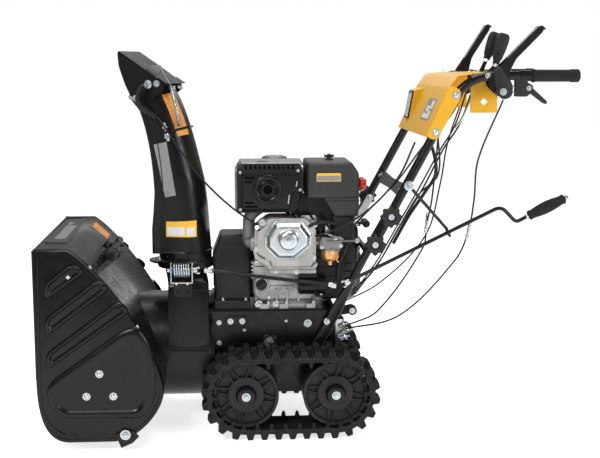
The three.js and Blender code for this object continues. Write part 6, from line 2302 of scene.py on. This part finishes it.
def hand_lever(name, joint, knob_foot, knob_tip):
    """Steel strap with a paddle-shaped plastic knob, thicker and rounder towards its tip."""
    pivot = PIVOT[joint]
    y = Span(name).y
    body = joint_child(joint)
    reach = Vector(knob_foot) - Vector((pivot.x, pivot.z))
    place = in_plane(pivot, y, math.degrees(math.atan2(reach.y, reach.x)))
    end = reach.length
    mesh = bmesh.new()
    strap = rounded([(4, -8), (end + 12, -5), (end + 12, 5), (4, 8), (-8, 6), (-8, -6)], 3)
    prism(mesh, "y", strap, -3, 3)
    lathe(mesh, (0, -6, 0), (0, 1, 0), [(11, 0), (11, 12)], 24)
    moved(mesh.verts, place)
    piece(name + "_strap", body, TUBE_BLACK, mesh, 0.6)
    run = Vector(knob_tip) - Vector(knob_foot)
    foot = Vector((knob_foot[0], 0, knob_foot[1]))
    place = in_plane(foot, y, math.degrees(math.atan2(run.y, run.x)))
    length = run.length
    mesh = bmesh.new()
    rings = []
    for share, wide, thick in ((0, 6, 6), (0.03, 10, 8), (0.12, 10.5, 8), (0.2, 14, 9), (0.45, 17.5, 10.5),
                               (0.75, 20, 11), (0.9, 19, 10.5), (0.97, 15.5, 9), (1, 10, 6)):
        ring = []
        for k in range(28):
            t = 2 * math.pi * k / 28
            flat = math.copysign(abs(math.cos(t)) ** 0.6, math.cos(t))
            tall = math.copysign(abs(math.sin(t)) ** 0.6, math.sin(t))
            ring.append((length * share, thick * tall, wide * flat))
        rings.append(ring)
    skin(mesh, rings)
    for side in (LEFT, RIGHT):
        groove = rounded([(length * 0.3, -10), (length - 14, -13), (length - 14, 13), (length * 0.3, 10)],
                         8)
        pillow(mesh, "y", groove, [(0, side * 7), (0, side * 11), (1.5, side * 12)])
    moved(mesh.verts, place)
    piece(name, body, PLASTIC, mesh, smooth=45, replaces=[name])
    mesh = bmesh.new()
    lathe(mesh, (-6, 0, 0), (1, 0, 0), [(7, 0), (7, 4), (8.5, 5), (8.5, 9)], 6)
    moved(mesh.verts, place)
    piece(name + "_nut", body, ZINC, mesh)


clutch_lever("left_clutch_lever", "left_clutch_squeeze", LEFT, 45.6)
clutch_lever("right_clutch_lever", "right_clutch_squeeze", RIGHT, 58)
steering_trigger("left_steering_trigger", "left_trigger_squeeze", LEFT)
steering_trigger("right_steering_trigger", "right_trigger_squeeze", RIGHT)
hand_lever("speed_lever", "speed_lever_tilt", (619, 1090), (649, 1172))
hand_lever("deflector_lever", "deflector_lever_tilt", (637, 1075), (662, 1168))


# ------------------------------------------------------------------ cables and springs
def cable(name, points, radius=3.0, material=HOSE, body="chassis"):
    """Sheathed cable that flows through a row of points."""
    mesh = bmesh.new()
    tube(mesh, flowing(points), radius, 10)
    return piece(name, body, material, mesh, smooth=60)


def flat_path(y_start, y_end, corners):
    """Path in x and z that drifts from one y to another."""
    last = len(corners) - 1
    return [(x, y_start + (y_end - y_start) * i / last, z) for i, (x, z) in enumerate(corners)]


def adjuster(name, point, heading, body="chassis"):
    """Threaded barrel with two lock nuts where a cable's sheath ends."""
    mesh = bmesh.new()
    point = Vector(point)
    heading = Vector(heading).normalized()
    lathe(mesh, point - heading * 26, heading, [(3.2, 0), (4.2, 2), (4.2, 50), (3, 52)], 14)
    for offset in (-14, 6):
        lathe(mesh, point + heading * offset, heading, [(7, 0), (7, 5)], 6)
    lathe(mesh, point + heading * 18, heading, [(5.4, 0), (5.4, 12), (4, 14)], 14)
    piece(name, body, ZINC, mesh)


def tilt_cable():
    """Cable from the deflector lever to the chute, with its corrugated boot and end at the deflector."""
    stay = (-340, -170, HINGE_Z - 141)
    start = (-374, -150, HINGE_Z - 93)
    line = flat_path(-180, -205, [(-355, 909), (-254, 754), (-129, 640), (-1, 578), (113, 594), (219, 651),
                                  (313, 750)])
    line.append((372, -150, 850))
    cable("tilt_cable", [stay] + line[1:], 2.8, body=("chute", "chassis", stay, line[4]))
    boot_line = [(-415, -150, HINGE_Z + 1), (-432, -150, HINGE_Z - 28), (-430, -150, HINGE_Z - 56),
                 (-405, -150, HINGE_Z - 76), (-380, -150, HINGE_Z - 90)]
    path = stretched(rounded(boot_line, 24, 8, closed=False), 3.2)
    mesh = bmesh.new()
    ridges = len(path)
    tube(mesh, path, lambda share: 8.2 if round(share * (ridges - 1)) % 2 else 6.4, 16)
    piece("tilt_cable_boot", ("deflector", "chute", boot_line[0], boot_line[-1]), HOSE, mesh, smooth=20)
    cable("tilt_cable_tail", [boot_line[-1], start, (-360, -160, HINGE_Z - 113), stay], 2.4, body="chute")


def handle_cables():
    """Clutch and steering cables that loop from the bar down to the frame."""
    near = flat_path(-250, -250, [(605, 976), (537, 806), (528, 691), (513, 598), (477, 517), (318, 357)])
    near.append((173, -150, 294))
    cable("left_clutch_cable", near, 2.6)
    adjuster("left_clutch_adjuster", near[3], (15, 0, 90))
    second = flat_path(-212, -130, [(428, 866), (416, 686), (405, 612), (398, 539), (267, 346), (179, 300)])
    cable("left_steering_cable", second, 2.6)
    adjuster("left_steering_adjuster", second[2], (8, 0, 70))
    bundles = (
        ("inner_cable_1", -196, -110, 2.6,
         [(431, 872), (436, 757), (384, 698), (327, 595), (254, 462), (180, 388)]),
        ("inner_cable_2", -184, -98, 2.6,
         [(526, 990), (498, 902), (455, 830), (399, 713), (341, 610), (283, 501), (204, 388)]),
        ("inner_cable_3", -176, -92, 2.4,
         [(516, 1000), (486, 898), (444, 822), (386, 708), (330, 604), (270, 492), (196, 384)]),
        ("inner_hose", -190, -186, 5.0,
         [(402, 872), (423, 812), (427, 759), (396, 706), (352, 640), (306, 556)]),
        ("diagonal_cable", -190, -140, 2.6,
         [(505, 1000), (470, 930), (392, 840), (323, 744), (242, 657), (196, 606), (176, 560)]),
    )
    for name, y_start, y_end, radius, corners in bundles:
        cable(name, flat_path(y_start, y_end, corners), radius)
    far = flat_path(238, 150, [(600, 980), (545, 820), (520, 690), (470, 520), (320, 370), (176, 300)])
    cable("right_clutch_cable", far, 2.6)
    cable("hanger_rod", flat_path(-195, -195, [(536, 1009), (511, 946), (497, 917), (480, 894)]), 3.2, ZINC)


def steering_roller():
    """Roller, springs and cable ends behind the frame, where the steering cables pull on the clutches."""
    mesh = bmesh.new()
    lathe(mesh, (196, -112, 340), (0, 1, 0), [(14, 0), (14, 5), (10, 8), (10, 14), (14, 17), (14, 22)], 28)
    bracket = rounded([(140, 318), (206, 328), (210, 348), (196, 356), (140, 346)], 6)
    prism(mesh, "y", bracket, -88, -84)
    piece("cable_roller", "chassis", PLASTIC, mesh, 0.6)
    mesh = bmesh.new()
    bolt(mesh, (196, -112, 340), (0, -1, 0), 6)
    for x, z in ((172, 300), (186, 282), (176, 262)):
        lathe(mesh, (x, -118, z), (0.9, 0, 0.3), [(3.4, -20), (5.5, -18), (5.5, -8), (3.4, -6), (3.4, 12)],
              12)
        lathe(mesh, (x - 6, -118, z), (0.9, 0, 0.3), [(7, 0), (7, 5)], 6)
    coil(mesh, (150, -120, 262), (178, -120, 292), 6, 1.3, 9)
    plate = box_outline(143, 168, 250, 314, 4)
    prism(mesh, "y", plate, -112, -108)
    piece("cable_ends", "chassis", ZINC, mesh)


tilt_cable()
handle_cables()
steering_roller()


# ------------------------------------------------------------------ floor, light and camera
SKY_SEEN = 1.0
SKY_LIGHT = 0.30
CAMERA_PLACE = Vector((-0.1911, -3.3435, 1.0792))
CAMERA_PITCH = -8.565
CAMERA_TURN = -4.04
CAMERA_LENS = 66.05
FLOOR_RADIUS = 30000


def stage():
    floor_finish = Finish("pale_floor")
    cloud = floor_finish.remap(floor_finish.noise(3, 2.0), 0.0, 1.0)
    floor_finish.put(floor_finish.shader, "Base Color",
                     floor_finish.mix(cloud, color(0.86, 0.86, 0.86), color(0.89, 0.89, 0.89)))
    floor_finish.put(floor_finish.shader, "Roughness", 0.9)
    floor_finish.put(floor_finish.shader, "Specular IOR Level", 0.1)
    floor_finish.put(floor_finish.shader, "Emission Color", color(1.0, 1.0, 1.0))
    floor_finish.put(floor_finish.shader, "Emission Strength", 0.74)
    mesh = bmesh.new()
    prism(mesh, "z", disc((0, 0), FLOOR_RADIUS, 96), -30, 0)
    bmesh.ops.scale(mesh, vec=(MM, MM, MM), verts=mesh.verts)
    data = bpy.data.meshes.new("floor")
    bmesh.ops.recalc_face_normals(mesh, faces=mesh.faces)
    mesh.to_mesh(data)
    mesh.free()
    data.materials.append(floor_finish.material)
    floor = bpy.data.objects.new("floor", data)
    bpy.context.scene.collection.objects.link(floor)
    world = bpy.data.worlds.new("studio")
    world.use_nodes = True
    background = world.node_tree.nodes["Background"]
    background.inputs["Color"].default_value = color(1.0, 1.0, 1.0)
    path = world.node_tree.nodes.new("ShaderNodeLightPath")
    strength = world.node_tree.nodes.new("ShaderNodeMath")
    strength.operation = "MULTIPLY_ADD"
    strength.inputs[1].default_value = SKY_SEEN - SKY_LIGHT
    strength.inputs[2].default_value = SKY_LIGHT
    world.node_tree.links.new(path.outputs["Is Camera Ray"], strength.inputs[0])
    world.node_tree.links.new(strength.outputs[0], background.inputs["Strength"])
    bpy.context.scene.world = world


def soft_light(name, place, target, size, power):
    light = bpy.data.lights.new(name, "AREA")
    light.shape = "RECTANGLE"
    light.size, light.size_y = size
    light.energy = power
    thing = bpy.data.objects.new(name, light)
    thing.location = Vector(place) + ORIGIN
    thing.rotation_mode = "QUATERNION"
    thing.rotation_quaternion = (Vector(target) - thing.location).to_track_quat("-Z", "Y")
    bpy.context.scene.collection.objects.link(thing)


def camera():
    data = bpy.data.cameras.new("camera")
    data.lens = CAMERA_LENS
    data.sensor_width = 36.0
    thing = bpy.data.objects.new("camera", data)
    thing.location = CAMERA_PLACE + ORIGIN
    thing.rotation_euler = (math.radians(90 + CAMERA_PITCH), 0, math.radians(CAMERA_TURN))
    bpy.context.scene.collection.objects.link(thing)
    bpy.context.scene.camera = thing


middle = (Vector(cad_box[0]) + Vector(cad_box[1])) / 2
stage()
soft_light("key", (-1.8, -3.0, 3.2), middle, (1.5, 0.9), 96)
soft_light("fill", (2.6, -2.6, 1.6), middle, (1.2, 1.2), 40)
soft_light("top", (0.2, 0.2, 3.6), middle, (2.4, 1.6), 66)
soft_light("rim", (0.6, 3.2, 2.4), middle, (3.0, 1.6), 18)
camera()
bpy.context.scene.view_settings.view_transform = "Standard"
